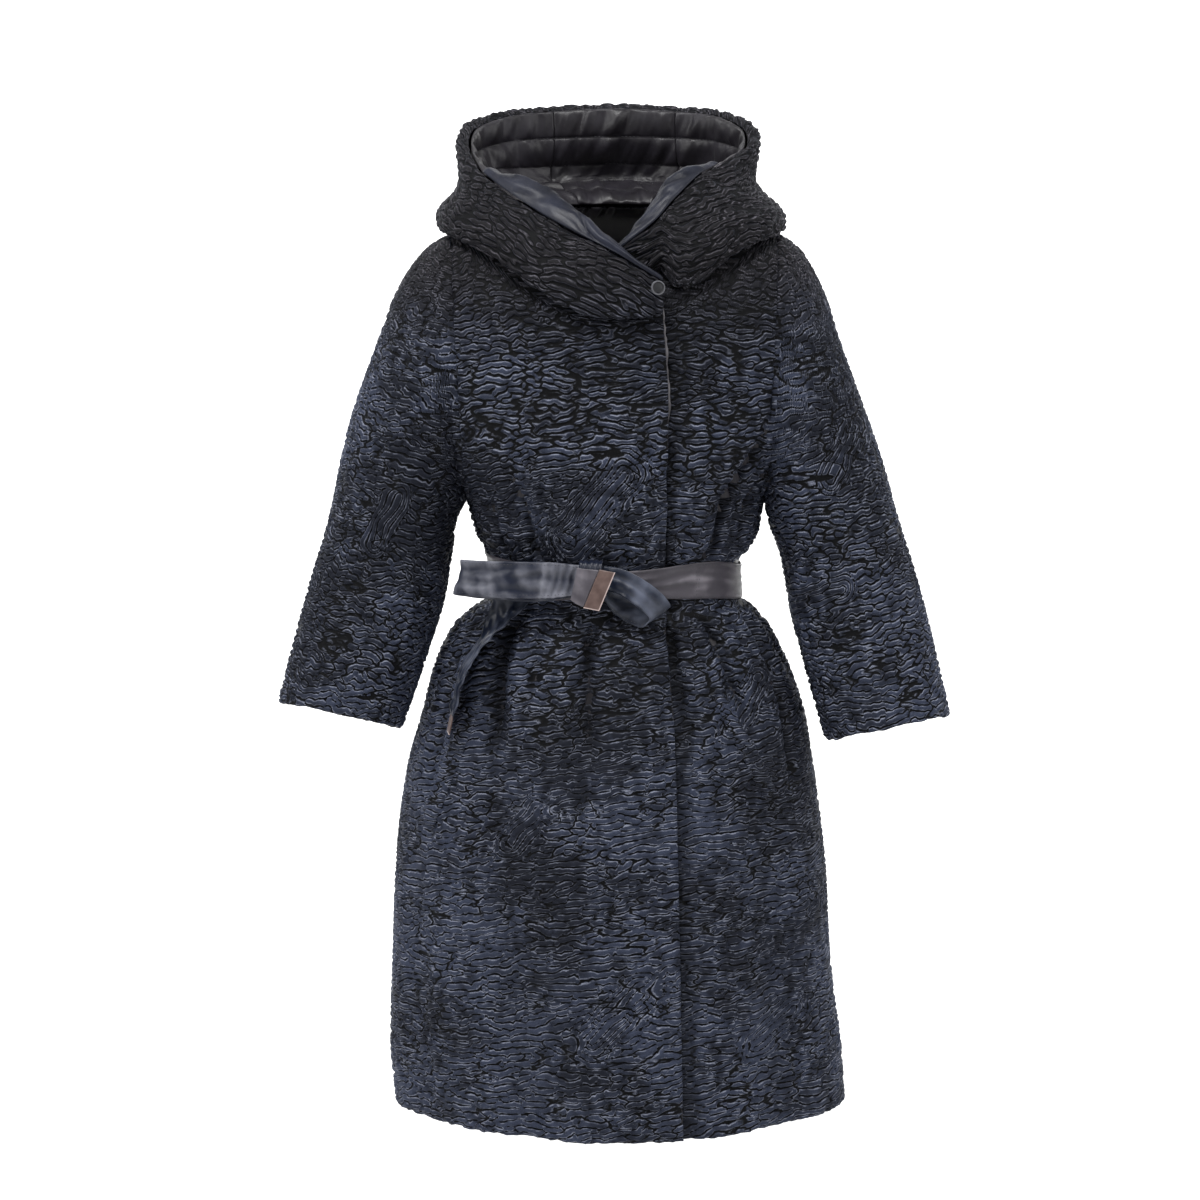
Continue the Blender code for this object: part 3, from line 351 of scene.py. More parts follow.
# %% [markdown]
# ## The crimped pile
#
# Real crimped pile is a short plush that has been pressed into ridges, each about as wide as
# a pencil and two to four centimetres long. They run across the cloth, wander, fork, end and
# curl into long loops, and the pile parts between them in a thin dark crease. A picture of
# ridges would look flat from the side, so here the mesh itself is raised.
#
# Ripples on a pond give such a pattern when many of nearly the same length meet: their crests
# join and break up by chance. So many small waves are added up, and what counts at each point
# is the angle of the sum, which runs once round the clock from one crease to the next. The
# angle is kept on the mesh as its cosine and sine, so that the material can draw each crease
# far finer than the mesh is.

# %% Smooth random hills
RIDGE = 0.0068           # from one crease to the next
RELIEF = 0.0032          # how high the ridges stand above the creases
CROSS_PITCH = 0.034      # along a ridge, from one break in it to the next
SHIFT = 0.0040           # how far the ridges wander to and fro
WANDER = 0.0032          # how uneven the long loops are


def hills(u, v, wide, tall, seed):
    """Smooth random hills, each wide by tall metres, from about -1 to 1."""
    dice = np.random.default_rng(seed)
    turn = dice.uniform(0, 2 * np.pi, (128, 128))
    x, y = u / wide + 37.3, v / tall + 51.7
    i, j = np.floor(x).astype(int), np.floor(y).astype(int)
    fx, fy = x - i, y - j
    sx, sy = fx**3 * (fx * (fx * 6 - 15) + 10), fy**3 * (fy * (fy * 6 - 15) + 10)

    def corner(di, dj):
        lean = turn[(i + di) % 128, (j + dj) % 128]
        return np.cos(lean) * (fx - di) + np.sin(lean) * (fy - dj)

    low = corner(0, 0) * (1 - sx) + corner(1, 0) * sx
    high = corner(0, 1) * (1 - sx) + corner(1, 1) * sx
    return 1.5 * (low * (1 - sy) + high * sy)


print("hills at three places:", hills(np.array([0.0, 0.013, 0.027]), np.zeros(3), 0.02, 0.02, 1).round(2))


# %% Many small waves
def waves(u, v, seed, ridge=RIDGE, fan=18.0, count=56):
    """The sum of waves of nearly one length that run up the cloth, as complex numbers."""
    dice = np.random.default_rng(seed)
    steep = 2 * np.pi / ridge * (1 + 0.12 * dice.standard_normal(count))
    lean = np.radians(fan * dice.standard_normal(count))
    start = dice.uniform(0, 2 * np.pi, count)
    total = np.zeros(u.shape, complex)
    for k, angle, phase in zip(steep, lean, start):
        total += np.exp(1j * (k * (u * np.sin(angle) + v * np.cos(angle)) + phase))
    return total / math.sqrt(count)


def capsule_distance(x, z, x0, z0, x1, z1):
    """How far a place is from a short straight line."""
    along_x, along_z = x1 - x0, z1 - z0
    share = ((x - x0) * along_x + (z - z0) * along_z) / (along_x**2 + along_z**2)
    share = np.clip(share, 0, 1)
    return np.hypot(x - x0 - along_x * share, z - z0 - along_z * share)


print("from (0, 1) to a line on the ground:", capsule_distance(0.0, 1.0, -1.0, 0.0, 1.0, 0.0))


# %% The whole pattern of the pile
def pile_pattern(u, v, seed, places, whorls=(), open_creases=0.0, ridge=RIDGE):
    """Marks for each point: the crease angle's cosine and sine, the cross creases, how far
    apart the ridges stand, and how high the pile is, from 0 in a crease to 1 on a ridge."""
    shift_u = SHIFT * hills(u, v, 0.050, 0.045, seed + 1)
    shift_v = SHIFT * hills(u, v, 0.060, 0.040, seed + 2) + 0.0014 * hills(u, v, 0.013, 0.014, seed + 3)
    sum_ = waves(u + shift_u, v + shift_v, seed, ridge)
    wander = WANDER * hills(u, v, 0.022, 0.022, seed + 4), WANDER * hills(u, v, 0.022, 0.022, seed + 5)
    for x0, z0, x1, z1, reach in whorls:
        away = capsule_distance(places[0] + wander[0], places[1] + wander[1], x0, z0, x1, z1)
        share = 1 - ease(0.45 * reach, 1.1 * reach, away)
        sum_ = sum_ * (1 - share) + 1.2 * share * np.exp(2j * np.pi * (away / (ridge * 0.80) + 0.3))
    size = np.abs(sum_)
    unit = sum_ / np.maximum(size, 1e-9)
    crease = np.sqrt(np.clip((1 - unit.real) / 2, 0, 1))
    cross = (u / CROSS_PITCH + 0.60 * hills(u, v, 0.040, ridge * 1.05, seed + 6)
             + 0.9 * hills(u, v, 0.060, 0.050, seed + 7))
    cut = ease(-0.35, 0.25, hills(u, v, 0.075, 0.055, seed + 8) + 0.6 * open_creases)
    apart = 0.40 + 0.16 * hills(u, v, 0.110, 0.080, seed + 9) + 0.10 * hills(u, v, 0.024, 0.016, seed + 10)
    apart = np.clip(apart + 0.26 * open_creases, 0.26, 0.86)
    stand = 1 - np.exp(-((crease / apart) ** 2))
    stand *= 1 - cut * np.exp(-((np.sin(np.pi * cross) / (0.20 + 0.5 * apart)) ** 2))
    stand *= 0.30 + 0.70 * ease(0.15, 0.75, size)
    return {"crease_cos": unit.real, "crease_sin": unit.imag, "cross": cross, "cut": cut,
            "apart": apart, "stand": np.clip(stand, 0, 1)}


test_u, test_v = np.meshgrid(np.linspace(0, 0.1, 50), np.linspace(0, 0.1, 50))
test = pile_pattern(test_u, test_v, 3, (test_u, test_v))
print("mean standing height:", test["stand"].mean().round(2))

# %% [markdown]
# ## A piece of cloth as a thin shell
#
# Every piece is a grid of points on its outer face. A second, coarser grid lies one cloth
# thickness inside it, and a band of triangles joins the two along the edges, so that the
# piece is closed like real cloth. The outer face is fine only where it has to be. Along its
# edges the outer face rolls inwards a little, which is what makes a seam show as a groove.


# %% Directions and lengths on a grid
def grid_measures(points, closed):
    """The outer direction of each point, and its place along and up the cloth in metres."""
    if closed:
        across = np.roll(points, -1, axis=1) - np.roll(points, 1, axis=1)
    else:
        across = np.gradient(points, axis=1)
    normal = np.cross(across, np.gradient(points, axis=0))
    normal /= np.maximum(np.linalg.norm(normal, axis=-1, keepdims=True), 1e-12)
    steps = np.linalg.norm(np.diff(points, axis=1), axis=-1)
    u = np.concatenate([np.zeros((len(points), 1)), np.cumsum(steps, axis=1)], axis=1)
    steps = np.linalg.norm(np.diff(points, axis=0), axis=-1)
    v = np.concatenate([np.zeros((1, points.shape[1])), np.cumsum(steps, axis=0)], axis=0)
    return normal, u, v


def flat_area(points, closed):
    """The area of a grid of points, which is what the piece was cut to."""
    if closed:
        points = np.concatenate([points, points[:, :1]], axis=1)
    one = points[1:, 1:] - points[:-1, :-1]
    other = points[1:, :-1] - points[:-1, 1:]
    return float(np.linalg.norm(np.cross(one, other), axis=-1).sum() / 2)


def edge_roll(u, v, closed, width=0.004, depth=0.0013):
    """How far the outer face rolls inwards close to the edges."""
    away = np.minimum(v, v[-1:] - v)
    if not closed:
        away = np.minimum(away, np.minimum(u, u[:, -1:] - u))
    near = 1 - np.clip(away / width, 0, 1)
    return depth * (1 - np.sqrt(np.clip(1 - near**2, 0, 1)))


print("area of a square of test points:", flat_area(np.stack([test_u, test_v, test_u * 0], -1), False))


# %% Build a shell from its two grids
def border_loop(rows, columns):
    """The grid's border, once round, as (row, column) pairs."""
    return (
        [(0, c) for c in range(columns - 1)]
        + [(r, columns - 1) for r in range(rows - 1)]
        + [(rows - 1, c) for c in range(columns - 1, 0, -1)]
        + [(r, 0) for r in range(rows - 1, 0, -1)]
    )


def stitch_border(fine, coarse, places):
    """Triangles between a fine closed loop and a coarse one that follows it."""
    made, count, q = [], len(fine), 0
    places = list(places) + [count]
    coarse = list(coarse) + [coarse[0]]
    for j in range(count):
        while q < len(coarse) - 1 and j + 0.5 > (places[q] + places[q + 1]) / 2:
            made.append((fine[j], coarse[q], coarse[q + 1]))
            q += 1
        made.append((fine[(j + 1) % count], fine[j], coarse[q]))
    return made


def grid_faces(ids, closed):
    """The four corners of every cell of a grid of point numbers."""
    if closed:
        ids = np.concatenate([ids, ids[:, :1]], axis=1)
    return np.stack([ids[:-1, :-1], ids[:-1, 1:], ids[1:, 1:], ids[1:, :-1]], -1).reshape(-1, 4)


def picked(count, skip, closed=False):
    """Evenly spaced numbers below count, the last one too unless the grid is closed."""
    if closed:
        return np.arange(0, count, skip)
    return np.unique(np.linspace(0, count - 1, max(2, (count - 1) // skip + 1)).round().astype(int))


def fill_mesh(name, points, quads, triangles):
    """A mesh from arrays, which is much quicker than from lists."""
    mesh = bpy.data.meshes.new(name)
    corners = np.concatenate([np.asarray(quads).ravel(), np.asarray(triangles).ravel()])
    sizes = np.concatenate([np.full(len(quads), 4), np.full(len(triangles), 3)])
    mesh.vertices.add(len(points))
    mesh.vertices.foreach_set("co", np.asarray(points, np.float32).ravel())
    mesh.loops.add(len(corners))
    mesh.loops.foreach_set("vertex_index", corners.astype(np.int32))
    mesh.polygons.add(len(sizes))
    starts = np.concatenate([[0], np.cumsum(sizes)[:-1]])
    mesh.polygons.foreach_set("loop_start", starts.astype(np.int32))
    mesh.update(calc_edges=True)
    mesh.validate()
    mesh.shade_smooth()
    return mesh


print("every third of ten points:", picked(10, 3))


# %% One piece of cloth
PIECES = []


def cloth_shell(name, node, base, lift, wall, finishes, closed=False, towards=None,
                skip=(1, 1), marks=None):
    """A closed piece of cloth on the grid base, its outer face pushed out by lift."""
    normal, u, v = grid_measures(base, closed)
    middle = np.asarray(towards if towards is not None else COAT_MIDDLE, float)
    if (normal * (base - middle)).sum() < 0:
        base, lift = base[:, ::-1], lift[:, ::-1]
        marks = {key: value[:, ::-1] for key, value in (marks or {}).items()}
        normal, u, v = grid_measures(base, closed)
    outer = base + normal * lift[..., None]
    rows, columns = picked(len(base), skip[0]), picked(base.shape[1], skip[1], closed)
    inner = (base - normal * wall)[np.ix_(rows, columns)]
    outer_ids = np.arange(outer.shape[0] * outer.shape[1]).reshape(outer.shape[:2])
    inner_ids = outer_ids.size + np.arange(inner.shape[0] * inner.shape[1]).reshape(inner.shape[:2])
    quads = grid_faces(outer_ids, closed)
    inside = grid_faces(inner_ids, closed)[:, ::-1]
    triangles = []
    if closed:
        triangles += stitch_border(list(outer_ids[0]), list(inner_ids[0]), columns)
        triangles += stitch_border(
            list(outer_ids[-1][::-1]), list(inner_ids[-1][::-1]),
            sorted((outer.shape[1] - 1 - columns)),
        )
    else:
        fine = border_loop(*outer.shape[:2])
        number = {place: i for i, place in enumerate(fine)}
        coarse = border_loop(*inner.shape[:2])
        places = [number[(rows[r], columns[c])] for r, c in coarse]
        triangles += stitch_border(
            [outer_ids[p] for p in fine], [inner_ids[p] for p in coarse], places
        )
    points = np.concatenate([outer.reshape(-1, 3), inner.reshape(-1, 3)])
    mesh = fill_mesh(name, points, np.concatenate([quads, inside]), triangles)
    for finish in finishes:
        mesh.materials.append(finish)
    if len(finishes) > 1:
        numbers = np.zeros(len(mesh.polygons), np.int32)
        numbers[len(quads):len(quads) + len(inside)] = 1
        mesh.polygons.foreach_set("material_index", numbers)
    marks = dict(marks or {})
    marks.setdefault("along", u)
    marks.setdefault("up", v)
    for key, values in marks.items():
        values = np.concatenate([values.ravel(), values[np.ix_(rows, columns)].ravel()])
        layer = mesh.attributes.new(key, "FLOAT", "POINT")
        layer.data.foreach_set("value", values.astype(np.float32))
    piece = bpy.data.objects.new(name, mesh)
    collection.objects.link(piece)
    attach(piece, "root")
    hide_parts(node)
    around = float(u[:, -1].max())
    if closed:
        around += float(np.linalg.norm(base[:, -1] - base[:, 0], axis=-1).max())
    PIECES.append(piece)
    print(f"{name}: {len(mesh.polygons)} faces, cut {around:.2f} by {v[-1].max():.2f} m")
    return piece


print("a shell helper is ready")

# %% [markdown]
# ## Finishes
#
# Pile cloth swallows light in its creases and glows softly along its ridges. Here the creases are
# the dark pile with painted shade, and the bright ridge rims are painted sheen, over a faint sheen
# layer. Satin is a smooth, dark cloth with long soft highlights. The belt band's satin is painted
# lighter, as lit, and its short loop and tail darker, as in shade. The belt's ends are bound in
# brown leather, and the snap is dark metal with a light rim.


# %% Small helpers for materials
def new_finish(name):
    """A new material, its node tree and its main shader."""
    made = bpy.data.materials.new(name)
    made.use_nodes = True
    return made, made.node_tree, made.node_tree.nodes["Principled BSDF"]


def node(tree, kind, inputs=None, **settings):
    """A new node whose inputs are numbers, colours or other nodes' outputs."""
    made = tree.nodes.new(kind)
    for key, value in settings.items():
        setattr(made, key, value)
    for key, value in (inputs or {}).items():
        if isinstance(value, bpy.types.NodeSocket):
            tree.links.new(value, made.inputs[key])
        else:
            made.inputs[key].default_value = value
    return made


def maths(tree, operation, a, b=0.0, c=0.0):
    return node(tree, "ShaderNodeMath", {0: a, 1: b, 2: c}, operation=operation).outputs[0]


def spread(tree, value, low, high, to_low=0.0, to_high=1.0):
    """A value between low and high, spread softly over another range."""
    made = node(
        tree, "ShaderNodeMapRange",
        {"Value": value, "From Min": low, "From Max": high, "To Min": to_low, "To Max": to_high},
        interpolation_type="SMOOTHSTEP",
    )
    return made.outputs[0]


def mixed(tree, share, first, second):
    """A colour between two others."""
    made = node(tree, "ShaderNodeMix", {0: share, 6: first, 7: second}, data_type="RGBA")
    return made.outputs[2]


def noise(tree, place, scale, detail=2.0, roughness=0.5):
    made = node(tree, "ShaderNodeTexNoise",
                {"Vector": place, "Scale": scale, "Detail": detail, "Roughness": roughness})
    return made.outputs["Fac"]


def mark(tree, name):
    """A mark that the mesh carries at each of its points."""
    return node(tree, "ShaderNodeAttribute", attribute_name=name).outputs["Fac"]


print("materials that came with the solids:", len(bpy.data.materials))


# %% The pile
# The dark pile roots in each crease, with painted shade of a crease too deep and narrow for the mesh
CREASE_ROOTS_AND_SHADE_COLOUR = (0.0014, 0.0015, 0.0022, 1)
# Painted sheen: the bright line along the flank of each ridge
SHEEN_RIM_COLOUR = (0.250, 0.270, 0.345, 1)
TOP_COLOUR = (0.0090, 0.0108, 0.0185, 1)
# Painted sheen: ridge tops lighter in broad patches, and a little lighter low on the coat
SHEEN_TOP_COLOUR = (0.040, 0.049, 0.082, 1)
SHADED_SHEEN_RIM_COLOUR = (0.125, 0.118, 0.138, 1)
SHADED_TOP_COLOUR = (0.0100, 0.0095, 0.0115, 1)


def pile_finish():
    """Painted shade in the creases, a painted sheen rim where each ridge bends over, and a dimmer top."""
    made, tree, shader = new_finish("crimped pile")
    place = node(tree, "ShaderNodeTexCoord").outputs["Object"]
    hairs = noise(tree, place, 1100, 3, 0.6)
    ragged = maths(tree, "SUBTRACT", noise(tree, place, 330, 3), 0.5)
    turned = maths(tree, "ARCTAN2", mark(tree, "crease_sin"), mark(tree, "crease_cos"))
    half = maths(tree, "MULTIPLY_ADD", ragged, 0.60, maths(tree, "MULTIPLY", turned, 0.5))
    crease = maths(tree, "ABSOLUTE", maths(tree, "SINE", half))
    broken = maths(tree, "MULTIPLY_ADD", ragged, 0.14, mark(tree, "cross"))
    broken = maths(tree, "ABSOLUTE", maths(tree, "SINE", maths(tree, "MULTIPLY", broken, math.pi)))
    uncut = maths(tree, "SUBTRACT", 1.0, mark(tree, "cut"))
    crease = maths(tree, "MINIMUM", crease, maths(tree, "MULTIPLY_ADD", uncut, 2.0,
                                                  maths(tree, "MULTIPLY", broken, 1.9)))
    apart, stand = mark(tree, "apart"), mark(tree, "stand")
    along = maths(tree, "DIVIDE", crease, apart)
    height = maths(tree, "MULTIPLY", spread(tree, along, 0.35, 1.20),
                   spread(tree, stand, 0.05, 0.5, 0.25, 1.0))
    clouds = noise(tree, place, 7, 3)
    patches = maths(tree, "MULTIPLY_ADD", noise(tree, place, 45, 2), 0.6, clouds)
    level = node(tree, "ShaderNodeSeparateXYZ", {"Vector": place}).outputs["Z"]
    lit = spread(tree, level, -0.03, -0.15)
    # Painted sheen on the ridge tops, in patches and a little more low on the coat
    painted_sheen = maths(tree, "MULTIPLY_ADD", spread(tree, level, -0.45, -0.80), 0.05, patches)
    top = mixed(tree, spread(tree, painted_sheen, 0.70, 1.00), TOP_COLOUR, SHEEN_TOP_COLOUR)
    top = mixed(tree, lit, SHADED_TOP_COLOUR, top)
    # Painted sheen along each ridge's flank, stronger in broad patches
    sheen_rim_middle = maths(tree, "MULTIPLY_ADD", apart, 0.62, 0.26)
    near_sheen_rim = maths(tree, "ABSOLUTE", maths(tree, "SUBTRACT", crease, sheen_rim_middle))
    rim = maths(tree, "MULTIPLY", spread(tree, near_sheen_rim, 0.06, 0.24, 1.0, 0.0),
                spread(tree, noise(tree, place, 90, 2), 0.36, 0.62, 0.10, 1.0))
    rim = maths(tree, "MULTIPLY", rim, spread(tree, clouds, 0.30, 0.62, 0.55, 1.0))
    # Painted shade: the colour goes to near black down in each crease
    colour = mixed(tree, spread(tree, height, 0.20, 0.70), CREASE_ROOTS_AND_SHADE_COLOUR, top)
    colour = mixed(tree, maths(tree, "MULTIPLY", rim, height), colour,
                   mixed(tree, lit, SHADED_SHEEN_RIM_COLOUR, SHEEN_RIM_COLOUR))
    colour = mixed(tree, spread(tree, hairs, 0.40, 0.70, 0.0, 0.50), colour, CREASE_ROOTS_AND_SHADE_COLOUR)
    # Painted shade: the pile is darkened deep in the folds, and where the under front runs beneath the top
    # front
    colour = mixed(tree, maths(tree, "MULTIPLY", mark(tree, "hollow"), 0.72), colour, CREASE_ROOTS_AND_SHADE_COLOUR)
    tree.links.new(colour, shader.inputs["Base Color"])
    relief = maths(tree, "MULTIPLY_ADD", hairs, 0.30, height)
    bump = node(tree, "ShaderNodeBump", {"Height": relief, "Strength": 0.9, "Distance": 0.0016})
    tree.links.new(bump.outputs[0], shader.inputs["Normal"])
    shader.inputs["Roughness"].default_value = 0.62
    shader.inputs["Specular IOR Level"].default_value = 0.13
    shader.inputs["Sheen Weight"].default_value = 0.05
    shader.inputs["Sheen Roughness"].default_value = 0.35
    shader.inputs["Sheen Tint"].default_value = (0.55, 0.66, 1.0, 1)
    return made


PILE = pile_finish()
print("nodes in the pile:", len(PILE.node_tree.nodes))


# %% The satins
def satin_finish(name, dark, light, roughness, sheen=0.15, shine=0.55, with_fold_light=False):
    """Smooth woven satin: fine threads, soft broad clouds of colour, and folds painted lighter, as
    highlights.
    """
    made, tree, shader = new_finish(name)
    place = node(tree, "ShaderNodeTexCoord").outputs["Object"]
    along, up = mark(tree, "along"), mark(tree, "up")
    vector = node(tree, "ShaderNodeCombineXYZ", {"X": along, "Y": up}).outputs[0]
    stretched = node(tree, "ShaderNodeMapping", {"Vector": vector, "Scale": (1.0, 14.0, 1.0)})
    threads = noise(tree, stretched.outputs[0], 420, 2)
    clouds = noise(tree, place, 34, 3)
    cloudy, fold_light_weight = (0.45, 0.62) if with_fold_light else (0.65, 0.55)
    share = maths(tree, "MULTIPLY_ADD", threads, 0.20, spread(tree, clouds, 0.3, 0.75, 0.0, cloudy))
    # Painted highlight and shade: lighter where the fold mark is high, darker where it is low
    share = maths(tree, "MULTIPLY_ADD", mark(tree, "fold_light"), fold_light_weight, share)
    if with_fold_light:
        share = spread(tree, share, 0.30, 1.20)
    tree.links.new(mixed(tree, share, (*dark, 1), (*light, 1)), shader.inputs["Base Color"])
    soft = noise(tree, place, 120, 2)
    relief = maths(tree, "MULTIPLY_ADD", soft, 0.7, maths(tree, "MULTIPLY", threads, 0.5))
    bump = node(tree, "ShaderNodeBump", {"Height": relief, "Strength": 0.35, "Distance": 0.0007})
    tree.links.new(bump.outputs[0], shader.inputs["Normal"])
    tree.links.new(spread(tree, clouds, 0.2, 0.8, roughness - 0.05, roughness + 0.08),
                   shader.inputs["Roughness"])
    shader.inputs["Specular IOR Level"].default_value = shine
    shader.inputs["Sheen Weight"].default_value = sheen
    shader.inputs["Sheen Roughness"].default_value = 0.45
    shader.inputs["Anisotropic"].default_value = 0.35
    return made


LINING = satin_finish("dark satin", (0.0080, 0.0068, 0.0090), (0.0180, 0.0160, 0.0225), 0.38, 0.04,
                      shine=0.36)
FACING = satin_finish("facing satin", (0.0030, 0.0036, 0.0075), (0.0150, 0.0175, 0.0310), 0.38, 0.03,
                      shine=0.26)
# The facing satin painted much lighter: a painted highlight along the front's thin satin edge
LIT_EDGE_SATIN = satin_finish("lit edge satin", (0.020, 0.019, 0.024), (0.170, 0.160, 0.175), 0.40, 0.1)
# The band's satin is the bow's satin painted lighter, as lit
LIT_BAND_SATIN = satin_finish("belt satin", (0.056, 0.051, 0.062), (0.232, 0.215, 0.244), 0.36, 0.03,
                          shine=0.35, with_fold_light=True)
BOW_SATIN = satin_finish("bow satin", (0.008, 0.011, 0.024), (0.185, 0.190, 0.225), 0.32, 0.02,
                         shine=0.32, with_fold_light=True)
# The short loop's and the tail's satin is the bow's satin painted darker, as in shade
SHADED_LOOP_SATIN = satin_finish("shaded satin", (0.004, 0.007, 0.017), (0.110, 0.124, 0.170), 0.32, 0.02,
                          shine=0.32, with_fold_light=True)
print("finishes so far:", len(bpy.data.materials))


# %% The leather and the metal
def leather_finish():
    """Brown leather with a fine grain and a pale cut edge."""
    made, tree, shader = new_finish("brown leather")
    place = node(tree, "ShaderNodeTexCoord").outputs["Object"]
    grain = node(tree, "ShaderNodeTexVoronoi", {"Vector": place, "Scale": 900.0},
                 feature="SMOOTH_F1").outputs["Distance"]
    worn = noise(tree, place, 90, 3)
    colour = mixed(tree, spread(tree, worn, 0.3, 0.75), (0.070, 0.040, 0.034, 1),
                   (0.130, 0.085, 0.074, 1))
    edge = spread(tree, mark(tree, "rim"), 0.55, 0.95)
    tree.links.new(mixed(tree, edge, colour, (0.66, 0.53, 0.50, 1)), shader.inputs["Base Color"])
    bump = node(tree, "ShaderNodeBump", {"Height": grain, "Strength": 0.3, "Distance": 0.0005})
    tree.links.new(bump.outputs[0], shader.inputs["Normal"])
    shader.inputs["Roughness"].default_value = 0.46
    return made


def metal_finish(name, dark, light, roughness, metallic):
    """Metal that is rubbed brighter in small spots."""
    made, tree, shader = new_finish(name)
    place = node(tree, "ShaderNodeTexCoord").outputs["Object"]
    rubbed = noise(tree, place, 700, 2)
    tree.links.new(mixed(tree, rubbed, (*dark, 1), (*light, 1)), shader.inputs["Base Color"])
    shader.inputs["Roughness"].default_value = roughness
    shader.inputs["Metallic"].default_value = metallic
    return made


LEATHER = leather_finish()
SNAP_DARK = metal_finish("dark snap", (0.010, 0.010, 0.012), (0.022, 0.023, 0.027), 0.45, 0.3)
SNAP_RIM = metal_finish("snap rim", (0.090, 0.092, 0.105), (0.170, 0.172, 0.190), 0.36, 0.5)
THREAD, thread_tree, thread_shader = new_finish("thread")
thread_place = node(thread_tree, "ShaderNodeTexCoord").outputs["Object"]
thread_tree.links.new(
    mixed(thread_tree, noise(thread_tree, thread_place, 1500, 1),
          (0.016, 0.016, 0.020, 1), (0.040, 0.040, 0.048, 1)),
    thread_shader.inputs["Base Color"],
)
thread_shader.inputs["Roughness"].default_value = 0.7
BELT_THREAD = satin_finish("belt thread", (0.016, 0.016, 0.022), (0.050, 0.050, 0.062), 0.55, 0.1)
print("all finishes:", len(bpy.data.materials))

# %% [markdown]
# ## The body panels
#
# The back is one piece from side seam to side seam. The wearer's right front laps over the
# left one, so the left front runs on underneath it. On each panel the ridges run level. The
# belt presses the pile flat where it goes round the waist, so the ridges are lower there.

# %% Levels and pressed places
PANEL_LEVELS = np.linspace(HEM_LEVEL, NECK_LEVEL, 500)
BACK_COLUMNS, TOP_COLUMNS, UNDER_COLUMNS, HIDDEN_COLUMNS = 142, 126, 84, 7
SLEEVE_RADIUS = 0.085    # once round a sleeve counts as a circle of this radius
HOLLOW_START, HOLLOW_DEEP = 0.001, 0.016  # folds deeper than these are a little, or fully, shaded


def pressed(z):
    """1 where the belt presses on the pile, 0 away from it."""
    return ease(-0.406, -0.398, z) * (1 - ease(-0.352, -0.344, z))


def open_chest(base):
    """The ridges stand further apart on the chest and just below the belt."""
    z = base[..., 2]
    return ease(-0.30, -0.20, z) + 0.6 * ease(-0.56, -0.48, z) * (1 - ease(-0.40, -0.34, z))


def pile_panel(name, node_name, base, seed, whorls=(), closed=False, towards=None, skip=(8, 3),
               turned=False, press=0.0, chest=0.0, ridge=RIDGE, place=None, hem=None, level_ridges=False,
               hollow=0.0):
    """A piece of pile cloth: its ridges stand on the grid base."""
    _, u, v = grid_measures(base, closed)
    across = u - u[:, u.shape[1] // 2][:, None]
    if level_ridges:
        place = across, 0.9 * base[..., 2] + 0.1 * v
    first, second = place if place else (across, v)
    if turned:
        first, second = second, first
    flat_place = base[..., 0], base[..., 2]
    marks = pile_pattern(first, second, seed, flat_place, whorls, chest, ridge)
    if closed:  # the ring's end fades into the pattern of its start, and the breaks fade out there
        once_round = 2 * np.pi * SLEEVE_RADIUS
        other = pile_pattern(first - once_round, second, seed, flat_place, whorls, chest, ridge)
        fade = ease(0.86, 1.0, np.arange(u.shape[1]) / u.shape[1])
        marks = {key: value * (1 - fade) + other[key] * fade for key, value in marks.items()}
        marks["cut"] = marks["cut"] * (1 - ease(0.0, 0.20, 4 * fade * (1 - fade)))
    # This mark is painted shade, fullest in the deepest folds
    marks["hollow"] = ease(HOLLOW_START, HOLLOW_DEEP, hollow + np.zeros(u.shape))
    lift = RELIEF * (marks["stand"] - 0.42) * (1 - 0.7 * press) - 0.0009 * press
    lift = lift - edge_roll(u, v, closed, 0.0065, 0.0023)
    if hem is not None:
        base = base + uneven_hem(base, v if hem == "first" else v[-1:] - v)[..., None] * (0, 0, 1)
    return cloth_shell(name, node_name, base, lift, PILE_WALL - THINNER, [PILE, LINING],
                       closed, towards, skip, marks)


def uneven_hem(base, away):
    """The pile's ridges make a hem's edge uneven: how far up or down it goes."""
    x, y = base[..., 0], base[..., 1]
    bumps = 0.0014 * hills(x, y, 0.009, 0.009, 211) + 0.0018 * hills(x, y, 0.034, 0.034, 213)
    return bumps * (1 - ease(0.0, 0.020, away))


print("pressed at the belt and below it:", pressed(-0.38), pressed(-0.45))


# %% The back
LEVELS = PANEL_LEVELS[:, None]


def back_angles():
    """The angles of the back's columns at each level, from one side to the other."""
    return np.array([np.linspace(side_angle("left", level, front=False),
                                 360 - side_angle("right", level, front=False), BACK_COLUMNS)
                     for level in PANEL_LEVELS])


angles = back_angles()
base = body_point(angles, LEVELS)
pile_panel("pile_back", "back", base, 11, press=pressed(base[..., 2]),
           chest=open_chest(base), hem="first", level_ridges=True, hollow=fold_depth(angles, LEVELS))


# %% The two fronts
def free_edge_angle(level):
    """Where the top front's free edge lies on a ring."""
    z = min(body_point(0, level)[2], -0.06)
    return float(angle_at_x(smooth_through(TOP_EDGE, "x", "z", z), level))


def top_front_angles():
    """The angles of the top front's columns at each level, from the side seam to the free edge."""
    return np.array([np.linspace(-side_angle("right", level, front=True), free_edge_angle(level), TOP_COLUMNS)
                     for level in PANEL_LEVELS])


